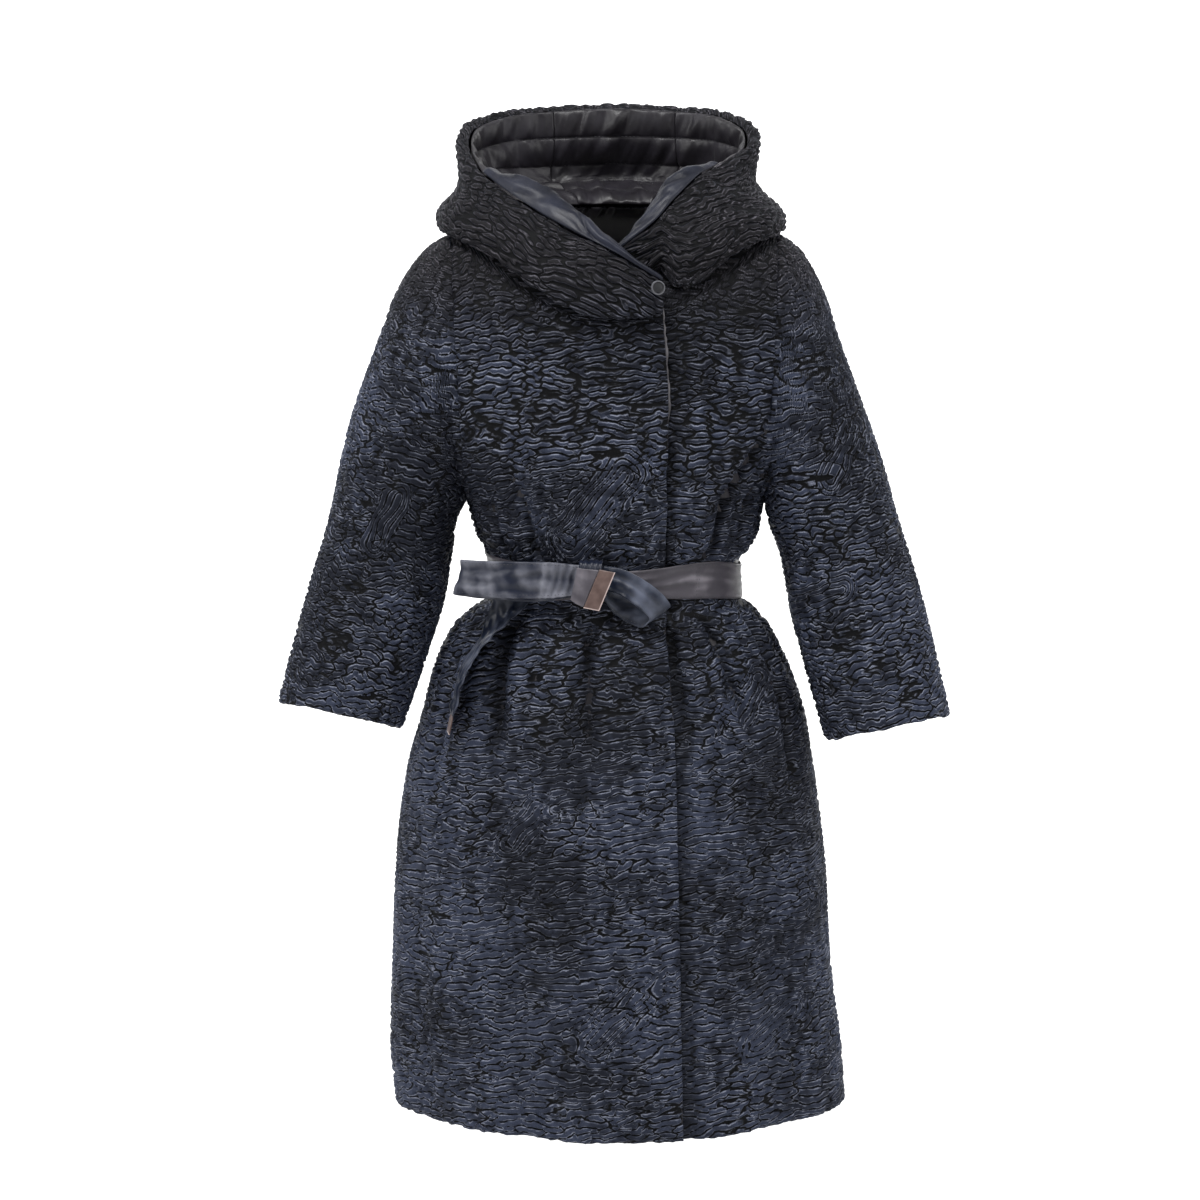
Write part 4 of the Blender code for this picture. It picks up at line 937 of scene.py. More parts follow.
def under_front_angles():
    """The angles of the under front, and how far it is pressed in where it runs underneath."""
    angles, inset = [], []
    for level in PANEL_LEVELS:
        edge, stop = free_edge_angle(level), side_angle("left", level, front=True)
        row = np.concatenate([np.linspace(EDGE_ANGLE_UNDER, edge - 4, HIDDEN_COLUMNS),
                              np.linspace(edge - 3, stop, UNDER_COLUMNS)])
        angles.append(row)
        inset.append(LAP_DROP * (1 - ease(edge - 0.5, edge + 9.0, row)))
    return np.array(angles), np.array(inset)


TOP_WHORLS = [(-0.046, -0.322, 0.010, -0.252, 0.034), (-0.024, -0.846, 0.028, -0.790, 0.030),
              (-0.110, -0.640, -0.080, -0.600, 0.022)]
angles = top_front_angles()
base = body_point(angles, LEVELS)
pile_panel("pile_front_right", "front_right", base, 23, TOP_WHORLS, press=pressed(base[..., 2]),
           chest=open_chest(base), hem="first", level_ridges=True, hollow=fold_depth(angles, LEVELS))
UNDER_WHORLS = [(0.120, -0.520, 0.150, -0.470, 0.022), (0.150, -0.860, 0.190, -0.830, 0.024)]
angles, inset = under_front_angles()
base = body_point(angles, LEVELS, inset)
# The under front is painted in shade where it runs beneath the top front
pile_panel("pile_front_left", "front_left", base, 37, UNDER_WHORLS, press=pressed(base[..., 2]),
           chest=open_chest(base), hem="first", level_ridges=True,
           hollow=fold_depth(angles, LEVELS) + 1.7 * inset)

# %% [markdown]
# ## The sleeves
#
# A sleeve is a tube sewn to the armhole. Its first ring copies the armhole's rim, and the
# next ones follow the table from the shoulder to the cuff. The ridges run level round the
# sleeve, so the pattern follows the height and not the rings. It also has to meet itself round
# the tube: near the end of each ring it fades into the pattern of the start.

# %% Sleeve rings
SLEEVE = table(
    "run   outer_x outer_z inner_x inner_z depth  middle_y lean right_outer right_inner",
    (0.06, 0.1950, -0.0300, 0.1590, -0.2915, 0.097, 0.004, 0.0, 0.0040, 0.0000),
    (0.14, 0.2170, -0.0680, 0.1600, -0.2970, 0.099, 0.003, 0.0, 0.0090, 0.0000),
    (0.26, 0.2410, -0.1370, 0.1620, -0.3050, 0.096, 0.001, 0.0, 0.0120, 0.0020),
    (0.38, 0.2640, -0.1980, 0.1650, -0.3180, 0.090, -0.002, 1.0, 0.0105, 0.0040),
    (0.50, 0.2860, -0.2620, 0.1710, -0.3350, 0.083, -0.006, 2.0, 0.0050, 0.0010),
    (0.60, 0.3000, -0.3130, 0.1780, -0.3540, 0.077, -0.010, 4.0, 0.0010, -0.0040),
    (0.72, 0.3160, -0.3620, 0.1850, -0.3970, 0.072, -0.016, 7.0, -0.0010, -0.0050),
    (0.86, 0.3350, -0.4330, 0.2020, -0.4650, 0.068, -0.026, 10.0, 0.0000, -0.0020),
    (1.00, 0.3545, -0.5180, 0.2250, -0.5460, 0.066, -0.042, 12.0, 0.0020, 0.0020),
)
RIGHT_CUFF_LIFT = 0.014
SLEEVE_COLUMNS, SLEEVE_ROWS = 272, 226


def rim_ring(side, turns):
    """The armhole's rim, and the direction in which the sleeve leaves it."""
    low, high = ARMHOLE[side]
    rim, leave = [], []
    for turn in turns:
        level = (low + high) / 2 + (high - low) / 2 * np.cos(turn)
        angle = SIGN[side] * armhole_angle(side, level, turn < math.pi)
        normal = body_normal(angle, level)
        outwards = np.array([SIGN[side], 0.0, 0.0])
        outwards = outwards - outwards.dot(normal) * normal
        rim.append(body_point(angle, level))
        leave.append(outwards / np.linalg.norm(outwards))
    return np.array(rim), np.array(leave)


def sleeve_ring(side, run, turns):
    """One ring of the sleeve, a share run of the way to the cuff."""
    sign, right = SIGN[side], 1.0 if side == "right" else 0.0
    value = {key: float(smooth_through(SLEEVE, key, "run", run)) for key in SLEEVE}
    lift = right * RIGHT_CUFF_LIFT * run
    outer = np.array([sign * (value["outer_x"] + right * value["right_outer"]), 0,
                      value["outer_z"] + lift])
    inner = np.array([sign * (value["inner_x"] + right * value["right_inner"]), 0,
                      value["inner_z"] + lift])
    lean, power = math.radians(value["lean"]), 2 / 2.15
    forward = value["depth"] * np.array([0, -math.cos(lean), math.sin(lean)])
    cosine, sine = np.cos(turns), np.sin(turns)
    along = (np.sign(cosine) * np.abs(cosine) ** power)[:, None] * (outer - inner) / 2
    deep = (np.sign(sine) * np.abs(sine) ** power)[:, None] * forward
    return (outer + inner) / 2 + np.array([0, value["middle_y"], 0]) + along + deep


def sleeve_grid(side):
    """A sleeve's outer face as rings, from the armhole to the cuff."""
    turns = np.linspace(0, 2 * math.pi, SLEEVE_COLUMNS, endpoint=False)
    rim, leave = rim_ring(side, turns)
    rings = [rim + leave * SEWN_GAP * 2, rim + leave * 0.0038]
    rings += [sleeve_ring(side, run, turns) for run in np.linspace(0.06, 1, 12)]
    return through(np.array(rings), SLEEVE_ROWS)


def sleeve_middle(level):
    """The middle of the sleeve at a level, about which the ridges are counted."""
    outer = np.interp(-level, -SLEEVE["outer_z"], SLEEVE["outer_x"])
    return outer - 0.065, np.interp(-level, -SLEEVE["outer_z"], SLEEVE["middle_y"])


SLEEVE_WHORLS = {
    "left": [(0.222, -0.262, 0.246, -0.212, 0.020), (0.190, -0.400, 0.235, -0.375, 0.022)],
    "right": [(-0.250, -0.330, -0.225, -0.280, 0.020)],
}
for side, seed in (("right", 51), ("left", 67)):
    base = sleeve_grid(side)
    middle_x, middle_y = sleeve_middle(base[..., 2])
    turned = np.arctan2(middle_y - base[..., 1], np.abs(base[..., 0]) - middle_x)
    around = SLEEVE_RADIUS * np.unwrap(turned, axis=1)
    down = 0.97 * base[..., 2] - 0.24 * np.abs(base[..., 0])
    pile_panel(f"pile_sleeve_{side}", f"sleeve_{side}", base, seed, SLEEVE_WHORLS[side],
               closed=True, towards=base.mean(axis=(0, 1)), skip=(6, 6), chest=0.35,
               place=(around, down), hem="last")

# %% [markdown]
# ## The hood
#
# The hood stands up round the neck and rolls outwards over the shoulders. One section of it
# is a curve from the neck seam, over the roll, up to the face edge. The table gives that
# curve for each direction round the neck. The pile turns in over the edge at the back, and
# ends at the satin facings in front.

# %% The hood's tables
HOOD = table(
    "turn  roll_r  roll_z  bulge_r bulge_z crease_r crease_z edge_r edge_z",
    (-20, 0.1400, -0.090, 0.1450, -0.080, 0.1460, -0.068, 0.1420, -0.057),
    (0, 0.1370, -0.094, 0.1430, -0.072, 0.1380, -0.048, 0.1270, -0.029),
    (21, 0.1390, -0.083, 0.1450, -0.058, 0.1370, -0.032, 0.1240, -0.007),
    (40, 0.1480, -0.054, 0.1540, -0.034, 0.1440, -0.010, 0.1260, 0.013),
    (57, 0.1620, -0.027, 0.1670, -0.009, 0.1560, 0.011, 0.1330, 0.032),
    (78, 0.1810, -0.010, 0.1830, 0.003, 0.1660, 0.029, 0.1480, 0.058),
    (97, 0.1870, -0.004, 0.1895, 0.006, 0.1650, 0.040, 0.1640, 0.083),
    (115, 0.1860, -0.016, 0.1970, -0.002, 0.1740, 0.046, 0.1720, 0.104),
    (138, 0.1780, -0.058, 0.2050, -0.030, 0.1880, 0.048, 0.1580, 0.119),
    (180, 0.1640, -0.092, 0.2080, -0.062, 0.1820, 0.056, 0.1300, 0.125),
    (222, 0.1760, -0.058, 0.2010, -0.030, 0.1840, 0.048, 0.1540, 0.119),
    (245, 0.1820, -0.016, 0.1910, -0.002, 0.1620, 0.046, 0.1580, 0.104),
    (262, 0.1800, -0.004, 0.1805, 0.006, 0.1500, 0.040, 0.1490, 0.084),
    (286, 0.1740, -0.012, 0.1750, 0.003, 0.1430, 0.032, 0.1140, 0.061),
    (306, 0.1590, -0.026, 0.1610, -0.006, 0.1350, 0.021, 0.1050, 0.047),
    (326, 0.1420, -0.048, 0.1470, -0.029, 0.1320, -0.003, 0.1080, 0.024),
    (331, 0.1300, -0.063, 0.1350, -0.045, 0.1280, -0.015, 0.1085, 0.015),
    (335.5, 0.1115, -0.044, 0.1160, -0.037, 0.1160, -0.021, 0.1080, 0.006),
    (352, 0.1070, -0.065, 0.1080, -0.055, 0.1080, -0.040, 0.1060, -0.018),
    (366, 0.1055, -0.070, 0.1060, -0.062, 0.1050, -0.050, 0.1030, -0.037),
)
TUCK_START, TUCK_END = 327.0, 335.0
HOOD_RIGHT_END, HOOD_LEFT_END = -20.0, 366.0
HOOD_SEAMS = (150.6, 209.4)
TURN_IN = 0.009
HOOD_MIDDLE = np.array([0, 0, 0.02])
NECK_STEPS = (           # under the neck seam, off the body, and above the seam where tucked in
    (0.004, SEAM_GAP + 0.0004, 0.0018),
    (0.020, 0.003, 0.0040),
    (0.032, 0.006, 0.0064),
)
FACING_ENDS = (73.0, 287.0)
FACING_CREST = table(
    "turn  crest_in crest_up",
    (-20, 0.004, 0.002),
    (0, 0.011, 0.010),
    (21, 0.019, 0.020),
    (40, 0.025, 0.023),
    (57, 0.020, 0.017),
    (73, 0.012, 0.004),
    (287, 0.014, 0.000),
    (306, 0.018, 0.009),
    (328, 0.022, 0.014),
    (338, 0.019, 0.012),
    (352, 0.010, 0.007),
    (366, 0.005, 0.004),
)
print("hood sections in the table:", len(HOOD["turn"]))


# %% One section of the hood
def polar(turn, radius, z):
    """A point round the neck: turn 0 is the centre front, 90 the wearer's right side."""
    turn = np.radians(turn)
    return np.array([-radius * np.sin(turn), -radius * np.cos(turn), z])


def ring_angle(turn, level):
    """The body's own angle for the direction turn, on the ring at this level."""
    turn = (turn + 180) % 360 - 180
    side = "right" if turn > 0 else "left"
    deep = "front" if abs(turn) < 90 else "back"
    ratio = smooth_through(BODY, deep, "level", level) / smooth_through(BODY, side, "level", level)
    half = abs(turn) if abs(turn) < 90 else 180 - abs(turn)
    angle = 90.0
    if half <= 89.9:
        square = smooth_through(BODY, "square", "level", level)
        angle = math.degrees(math.atan((math.tan(math.radians(half)) * ratio) ** (square / 2)))
    if abs(turn) >= 90:
        angle = 180 - angle
    return -math.copysign(angle, turn)


def on_body(turn, level, off, lift=0.0):
    """A point off the body's face in the direction turn, where the hood is sewn on."""
    angle = ring_angle(turn, level)
    inset = LAP_DROP * ease(TUCK_START, TUCK_END, turn)
    point = body_point(angle, level, inset, folds=False) + off * body_normal(angle, level)
    return point + np.array([0, 0, lift])


def hood_row(turn):
    """The hood's table at the direction turn."""
    return {key: float(smooth_through(HOOD, key, "turn", turn)) for key in HOOD}


def turned_in(turn):
    """The pile turns in over the face edge, but not where the satin facings turn out."""
    return float(TURN_IN * ease(66, 96, turn) * (1 - ease(264, 294, turn)))


def hood_section(turn, rows):
    """The pile wall of the hood in one direction, from the neck seam to the face edge."""
    row, tuck, turn_in = hood_row(turn), float(ease(TUCK_START, TUCK_END, turn)), turned_in(turn)
    points = []
    for below, off, high in NECK_STEPS:
        low = on_body(turn, NECK_LEVEL - below, off)
        points.append(low + (on_body(turn, NECK_LEVEL, 0.0, high) - low) * tuck)
    points += [polar(turn, row[f"{part}_r"], row[f"{part}_z"])
               for part in ("roll", "bulge", "crease", "edge")]
    points.append(polar(turn, row["edge_r"] - turn_in - 0.0003, row["edge_z"] - 0.3 * turn_in + 0.0003))
    return through(points, rows)


print("face edge at the back:", hood_section(180, 20)[-1].round(3))


# %% The hood's pile
def hood_grid(section, start, stop, columns, rows):
    """Sections of the hood side by side, from one direction to another."""
    return np.array([section(turn, rows) for turn in np.linspace(start, stop, columns)])


SEAM_A, SEAM_B = HOOD_SEAMS
TURN_GAP = 0.1
HOOD_RIDGE = 0.0076
for name, start, stop, columns, seed in (
    ("hood_right", HOOD_RIGHT_END, SEAM_A - TURN_GAP, 215, 71),
    ("hood_centre", SEAM_A + TURN_GAP, SEAM_B - TURN_GAP, 78, 83),
    ("hood_left", SEAM_B + TURN_GAP, HOOD_LEFT_END, 196, 97),
):
    base = hood_grid(hood_section, start, stop, columns, 100)
    pile_panel(f"pile_{name}", name, base, seed, towards=HOOD_MIDDLE, skip=(3, 3),
               turned=True, ridge=HOOD_RIDGE, chest=0.8)

# %% [markdown]
# ## The quilted lining and the satin facings
#
# Inside, the hood is lined with padded satin, stitched down in channels that run round the
# hood. Between two stitched lines the padding puffs up, and the satin gathers in small
# puckers on both sides of the stitches. Longer folds cross the channels where the hood is
# pushed together. The facings are narrower strips of satin along the front edges, with folds
# that spread out from the hood's corner.


# %% Lining and facing sections
def lining_section(turn, rows):
    """The lining's plain back, from under the turned-in pile to the neck seam."""
    row = hood_row(turn)
    neck = on_body(turn, NECK_LEVEL, 0.0)
    neck_r, neck_z = math.hypot(neck[0], neck[1]), neck[2]
    return through(
        [
            polar(turn, row["edge_r"] - turned_in(turn) - 0.0028, row["edge_z"] - 0.3 * TURN_IN - 0.0018),
            polar(turn, min(row["edge_r"], row["crease_r"]) - 0.012, (row["edge_z"] + row["crease_z"]) / 2),
            polar(turn, (neck_r + row["crease_r"]) / 2 + 0.010, (row["crease_z"] + neck_z) / 2 + 0.012),
            polar(turn, neck_r + 0.004, neck_z + 0.0075),
            polar(turn, neck_r - 0.0035, neck_z + 0.0020),
        ],
        rows,
    )


def facing_section(turn, rows):
    """A satin facing: out of the face edge, over its crest and down inside to the neck."""
    row = hood_row(turn)
    crest_r = row["edge_r"] - float(smooth_through(FACING_CREST, "crest_in", "turn", turn))
    crest_z = row["edge_z"] + float(smooth_through(FACING_CREST, "crest_up", "turn", turn))
    neck = on_body(turn, NECK_LEVEL, 0.0)
    neck_r, neck_z = math.hypot(neck[0], neck[1]), neck[2]
    whole = float(ease(6, 24, turn) * (1 - ease(352, 366, turn)))
    low = np.array([crest_r - 0.004 + (neck_r - 0.0040 - crest_r + 0.004) * whole,
                    crest_z - 0.012 + (neck_z + 0.002 - crest_z + 0.012) * whole])
    start = np.array([row["edge_r"] - 0.0012, row["edge_z"] + 0.0010])
    crest = np.array([crest_r, crest_z])
    profile = [start, start * 0.45 + crest * 0.55 + np.array([0.0010, 0.0022]), crest,
               crest * 0.62 + low * 0.38 + np.array([-0.0045, 0.0]), low]
    return through([polar(turn, radius, z) for radius, z in profile], rows)


def towards_inside(base):
    """The direction from each point of the grid to the hollow of the hood."""
    normal, _, _ = grid_measures(base, False)
    return -normal * np.sign((normal * (base - HOOD_MIDDLE)).sum())


print("middle of the right facing:", facing_section(40, 21)[10].round(3))


# %% The quilted lining
QUILT_CHANNELS = 5
LINING_ROWS = 106
BACKING = 0.0004         # the puffs stand on a backing this thick
FAR = 9                  # a point far away on the side where a piece's back is


def quilted(name, start, stop, columns, seed):
    """A padded lining piece: puffs between stitched lines, with puckers beside them."""
    base = hood_grid(lining_section, start, stop, columns, LINING_ROWS)
    _, u, v = grid_measures(base, False)
    share = np.linspace(0, 1, LINING_ROWS)[None, :] * QUILT_CHANNELS
    puff = np.abs(np.sin(np.pi * share)) ** 0.55 * np.ones_like(u)
    beside = np.exp(-((np.sin(np.pi * share) / 0.55) ** 2))
    puckers = hills(v, u, 0.0065, 0.030, seed) * beside * 0.0011
    creases = hills(v + 0.4 * u, u, 0.012, 0.060, seed + 1) * 0.0022 * puff
    folds = hills(v + 0.2 * u, u, 0.021, 0.120, seed + 2)
    folds = 0.0042 * np.sign(folds) * np.abs(folds) ** 0.7
    rise = SATIN_WALL + (QUILT_PUFF - SATIN_WALL) * puff + (puckers + creases) * np.clip(puff * 3, 0, 1)
    rise = np.maximum(rise + np.maximum(folds, -0.0012) * (0.35 + 0.65 * puff), 0.0007)
    rise = rise - edge_roll(u, v, False, 0.003, 0.0005)
    inwards = towards_inside(base)
    return cloth_shell(f"quilt_{name}", name, base + inwards * BACKING, rise - BACKING, 0.0003,
                       [LINING, LINING], towards=base - inwards * FAR, skip=(3, 4))


for name, start, stop, columns, seed in (
    ("lining_right", FACING_ENDS[0] + TURN_GAP, SEAM_A - TURN_GAP, 120, 103),
    ("lining_centre", SEAM_A + TURN_GAP, SEAM_B - TURN_GAP, 84, 107),
    ("lining_left", SEAM_B + TURN_GAP, FACING_ENDS[1] - TURN_GAP, 120, 109),
):
    quilted(name, start, stop, columns, seed)

# %% The satin facings
for name, start, stop, columns, seed in (
    ("facing_right", HOOD_RIGHT_END, FACING_ENDS[0] - TURN_GAP, 150, 113),
    ("facing_left", FACING_ENDS[1] + TURN_GAP, HOOD_LEFT_END, 130, 127),
):
    base = hood_grid(facing_section, start, stop, columns, 60)
    _, u, v = grid_measures(base, False)
    from_corner = v if name == "facing_right" else v[-1:] - v
    spread_out = (u - u[:, -1:] / 2) / (0.35 + from_corner / 0.12)
    wrinkles = 0.0042 * hills(spread_out, from_corner, 0.0085, 0.090, seed)
    wrinkles += 0.0008 * hills(u, v, 0.016, 0.010, seed + 1)
    away = np.minimum(np.minimum(u, u[:, -1:] - u), np.minimum(v, v[-1:] - v))
    wrinkles = wrinkles * ease(0.0, 0.008, away)
    base = base + towards_inside(base) * (wrinkles - 0.0006)[..., None]
    # The facing's colour is painted lighter and darker with its wrinkles, as highlight and shade
    cloth_shell(f"satin_{name}", name, base, -edge_roll(u, v, False, 0.003, 0.0006),
                SATIN_WALL - THINNER, [FACING, FACING], towards=HOOD_MIDDLE, skip=(2, 2),
                marks={"fold_light": ease(-0.0020, 0.0030, wrinkles)})

# %% [markdown]
# ## Small pieces on the fronts
#
# The pocket mouths are covered by narrow slanted welts of the same pile. A thin edge of
# satin facing shows past the free edge of the top front. The snap closes the hood's corner.

# %% Pocket welts
POCKETS = table(
    "side top_x  top_z  bottom_x bottom_z",
    (-1, -0.146, -0.492, -0.199, -0.630),
    (1, 0.108, -0.482, 0.164, -0.596),
)
WELT_WIDTH = 0.018


def welt_grid(index, rows=90, columns=14):
    """A welt's outer face, on the front just above the pocket mouth."""
    row = {key: POCKETS[key][index] for key in POCKETS}
    share = np.linspace(0, 1, rows)[:, None]
    across = np.linspace(-0.5, 0.5, columns)[None, :] * WELT_WIDTH
    level = row["top_z"] + (row["bottom_z"] - row["top_z"]) * share + across * 0
    x = row["top_x"] + (row["bottom_x"] - row["top_x"]) * share + across
    angle = angle_at_x(x, level)
    return body_point(angle, level) + body_normal(angle, level) * (SEAM_GAP * 3 + PILE_WALL * 0.8)


for index, side in enumerate(("right", "left")):
    pile_panel(f"pile_welt_{side}", f"pocket_welt_{side}", welt_grid(index), 131 + index,
               skip=(2, 2), press=0.4)


# %% The satin edge of the top front
def front_facing_grid(rows=120):
    """The satin under the free edge, which wavers a little where it shows."""
    grid = []
    for level in np.linspace(0.030, -0.190, rows):
        edge = free_edge_angle(level)
        wavy = 0.45 * float(hills(np.array(level), np.array(0.0), 0.021, 0.05, 141))
        angles = np.concatenate([np.linspace(edge - 14, edge, 12), [edge + 0.2, edge + 0.5 + wavy]])
        grid.append(body_point(angles, level, PILE_WALL + SEAM_GAP * 1.5))
    return np.array(grid)


base = front_facing_grid()
_, u, v = grid_measures(base, False)
# Its outer face is painted as a highlight along the edge
cloth_shell("satin_front_facing", "front_facing", base, 0.0003 * hills(u, v, 0.01, 0.02, 139),
            SATIN_WALL - THINNER, [LIT_EDGE_SATIN, FACING])

# %% [markdown]
# ## The belt
#
# The belt is a flat satin band, pressed double, with a seam of two stitched lines beside the
# bow. It goes round the waist and is tied in a bow: a long loop to the wearer's right, a short
# one to the left, a short end in front and a long tail behind. Each stretch is a ribbon along a
# curve, with a direction for its width.

# %% Belt tables
BELT = table(
    "angle top_z   bottom_z",
    (-180, -0.358, -0.398),
    (-90, -0.3465, -0.3865),
    (-40, -0.350, -0.388),
    (0, -0.3555, -0.3840),
    (40, -0.349, -0.387),
    (90, -0.360, -0.397),
    (180, -0.358, -0.398),
)
RIBBON_COLUMNS = "x       y       z       across_x across_y across_z width"
RIBBONS = {
    "belt_loop_left": table(
        RIBBON_COLUMNS,
        (-0.0340, -0.1215, -0.3615, 0.00, 0.0, 1.00, 0.030),
        (-0.0750, -0.1265, -0.3610, 0.00, 0.0, 1.00, 0.037),
        (-0.1150, -0.1195, -0.3620, 0.05, 0.0, 1.00, 0.038),
        (-0.1480, -0.1000, -0.3630, 0.15, 0.0, 0.98, 0.038),
        (-0.1625, -0.0870, -0.3640, 0.25, 0.0, 0.97, 0.038),
        (-0.1560, -0.0800, -0.3660, 0.20, 0.0, 0.98, 0.038),
        (-0.1300, -0.0885, -0.3675, 0.10, 0.0, 1.00, 0.038),
        (-0.1000, -0.0990, -0.3685, 0.00, 0.0, 1.00, 0.038),
        (-0.0700, -0.1090, -0.3690, 0.00, 0.0, 1.00, 0.034),
        (-0.0420, -0.1140, -0.3660, 0.00, 0.0, 1.00, 0.028),
    ),
    "belt_loop_right": table(
        RIBBON_COLUMNS,
        (-0.0130, -0.1210, -0.3600, 0.10, 0.0, 1.00, 0.024),
        (0.0050, -0.1270, -0.3630, 0.15, 0.0, 1.00, 0.026),
        (0.0260, -0.1320, -0.3745, 0.40, 0.0, 0.92, 0.027),
        (0.0410, -0.1300, -0.3870, 0.70, 0.1, 0.70, 0.027),
        (0.0465, -0.1250, -0.3960, 0.85, 0.2, 0.50, 0.026),
        (0.0390, -0.1210, -0.4010, 0.60, 0.3, 0.75, 0.026),
        (0.0230, -0.1175, -0.3970, 0.40, 0.3, 0.90, 0.026),
        (0.0040, -0.1140, -0.3870, 0.20, 0.2, 0.97, 0.026),
        (-0.0140, -0.1130, -0.3700, 0.10, 0.1, 1.00, 0.018),
    ),
    "belt_tail": table(
        RIBBON_COLUMNS,
        (-0.0480, -0.1085, -0.3660, 0.00, 0.0, -1.00, 0.026),
        (-0.0800, -0.0990, -0.3700, 0.30, -0.05, -0.95, 0.034),
        (-0.1040, -0.0890, -0.3820, 0.85, -0.10, -0.50, 0.040),
        (-0.1115, -0.0880, -0.3960, 1.00, -0.10, 0.00, 0.040),
        (-0.1230, -0.0920, -0.4130, 0.75, -0.62, 0.20, 0.040),
        (-0.1405, -0.0980, -0.4320, 0.38, -0.90, 0.20, 0.040),
        (-0.1520, -0.1010, -0.4490, 0.25, -0.95, 0.15, 0.040),
        (-0.1590, -0.1030, -0.4660, 0.17, -0.97, 0.10, 0.040),
        (-0.1650, -0.1040, -0.4880, 0.10, -0.98, 0.10, 0.040),
        (-0.1695, -0.1045, -0.5060, 0.10, -0.98, 0.10, 0.040),
    ),
    "belt_tail_leather": table(
        RIBBON_COLUMNS,
        (-0.1697, -0.1045, -0.5066, 0.10, -0.98, 0.10, 0.041),
        (-0.1715, -0.1050, -0.5160, 0.10, -0.98, 0.10, 0.041),
        (-0.1735, -0.1055, -0.5250, 0.10, -0.98, 0.10, 0.041),
    ),
    "belt_short_end": table(
        RIBBON_COLUMNS,
        (-0.0420, -0.1290, -0.3650, 0.20, 0.0, 0.97, 0.034),
        (-0.0340, -0.1325, -0.3670, 0.30, 0.0, 0.95, 0.038),
        (-0.0245, -0.1350, -0.3690, 0.38, 0.0, 0.92, 0.041),
    ),
    "belt_short_end_leather": table(
        RIBBON_COLUMNS,
        (-0.0240, -0.1351, -0.3691, 0.38, 0.0, 0.92, 0.043),
        (-0.0160, -0.1362, -0.3705, 0.38, 0.0, 0.92, 0.043),
        (-0.0080, -0.1368, -0.3720, 0.38, 0.0, 0.92, 0.043),
    ),
}
KNOT_X, KNOT_Y, KNOT_Z = (-0.0370, -0.0130), (-0.1290, -0.1076), (-0.3850, -0.3430)
WAIST_MIDDLE = np.array([0, 0, -0.38])
TIED_X, TIED_Y = -0.02, -0.11  # the band is drawn together towards this place
SEAM_ANGLE = 37                # where the belt's own seam crosses it
STITCH_LIFT = 0.0001
BELT_GAP = 0.0009              # between the coat's face and the band
print("ribbons:", list(RIBBONS))


# %% The band round the waist
def belt_band_grid(around=264, rows=20):
    """The band's outer face, once round the waist from the middle of the back."""
    columns = []
    for angle in np.linspace(-180, 180, around, endpoint=False):
        levels = np.linspace(float(smooth_through(BELT, "top_z", "angle", angle)),
                             float(smooth_through(BELT, "bottom_z", "angle", angle)), rows)
        columns.append(body_point(angle, levels, -(BELT_GAP + BELT_WALL), folds=False))
    return np.array(columns).transpose(1, 0, 2)


base = belt_band_grid()
outwards, u, v = grid_measures(base, True)
outwards *= np.sign((outwards * (base - WAIST_MIDDLE)).sum())
ring_x, ring_y = base[..., 0], base[..., 1]
from_knot = np.hypot(ring_x - TIED_X, ring_y - TIED_Y)
drawn = np.exp(-from_knot / 0.07)
sag = (0.0024 + 0.0026 * drawn) * hills(ring_x + ring_y + 0.6 * v, v, 0.050, 0.009, 149)
sag += 0.0009 * hills(ring_x - ring_y, v, 0.014, 0.020, 150)
sag = np.clip(sag, -0.0007, 0.0042) * np.sin(np.pi * np.linspace(0.04, 0.96, len(u)))[:, None]
base = base + outwards * sag[..., None]
# The band's colour is painted lighter on its sagging folds, as highlight, and darker between them, as shade
cloth_shell("satin_belt_band", "belt_band", base, -edge_roll(u, v, True, 0.002, 0.0006),
            BELT_WALL - THINNER, [LIT_BAND_SATIN, LIT_BAND_SATIN], closed=True,
            marks={"fold_light": ease(-0.0007, 0.0024, sag)})
EDGE_LINES = [(base[row] + outwards[row] * STITCH_LIFT, outwards[row]) for row in (1, -2)]
seam = round((SEAM_ANGLE + 180) / 360 * base.shape[1])
EDGE_LINES += [(base[:, column] + outwards[:, column] * STITCH_LIFT, outwards[:, column])
               for column in (seam, seam + 1)]


# %% The ribbons of the bow
def ribbon_grid(name, along, across):
    """The middle face of a ribbon: its path, and its width to both sides."""
    path = RIBBONS[name]
    middle = through(np.stack([path["x"], path["y"], path["z"]], -1), along)
    key, at = np.linspace(0, 1, len(path["x"])), np.linspace(0, 1, along)
    side = np.stack([np.interp(at, key, path[f"across_{axis}"]) for axis in "xyz"], -1)
    side /= np.linalg.norm(side, axis=1)[:, None]
    width = np.interp(at, key, path["width"])
    rows = [middle + side * (width * place)[:, None] for place in np.linspace(-0.5, 0.5, across)]
    return np.array(rows).transpose(1, 0, 2)


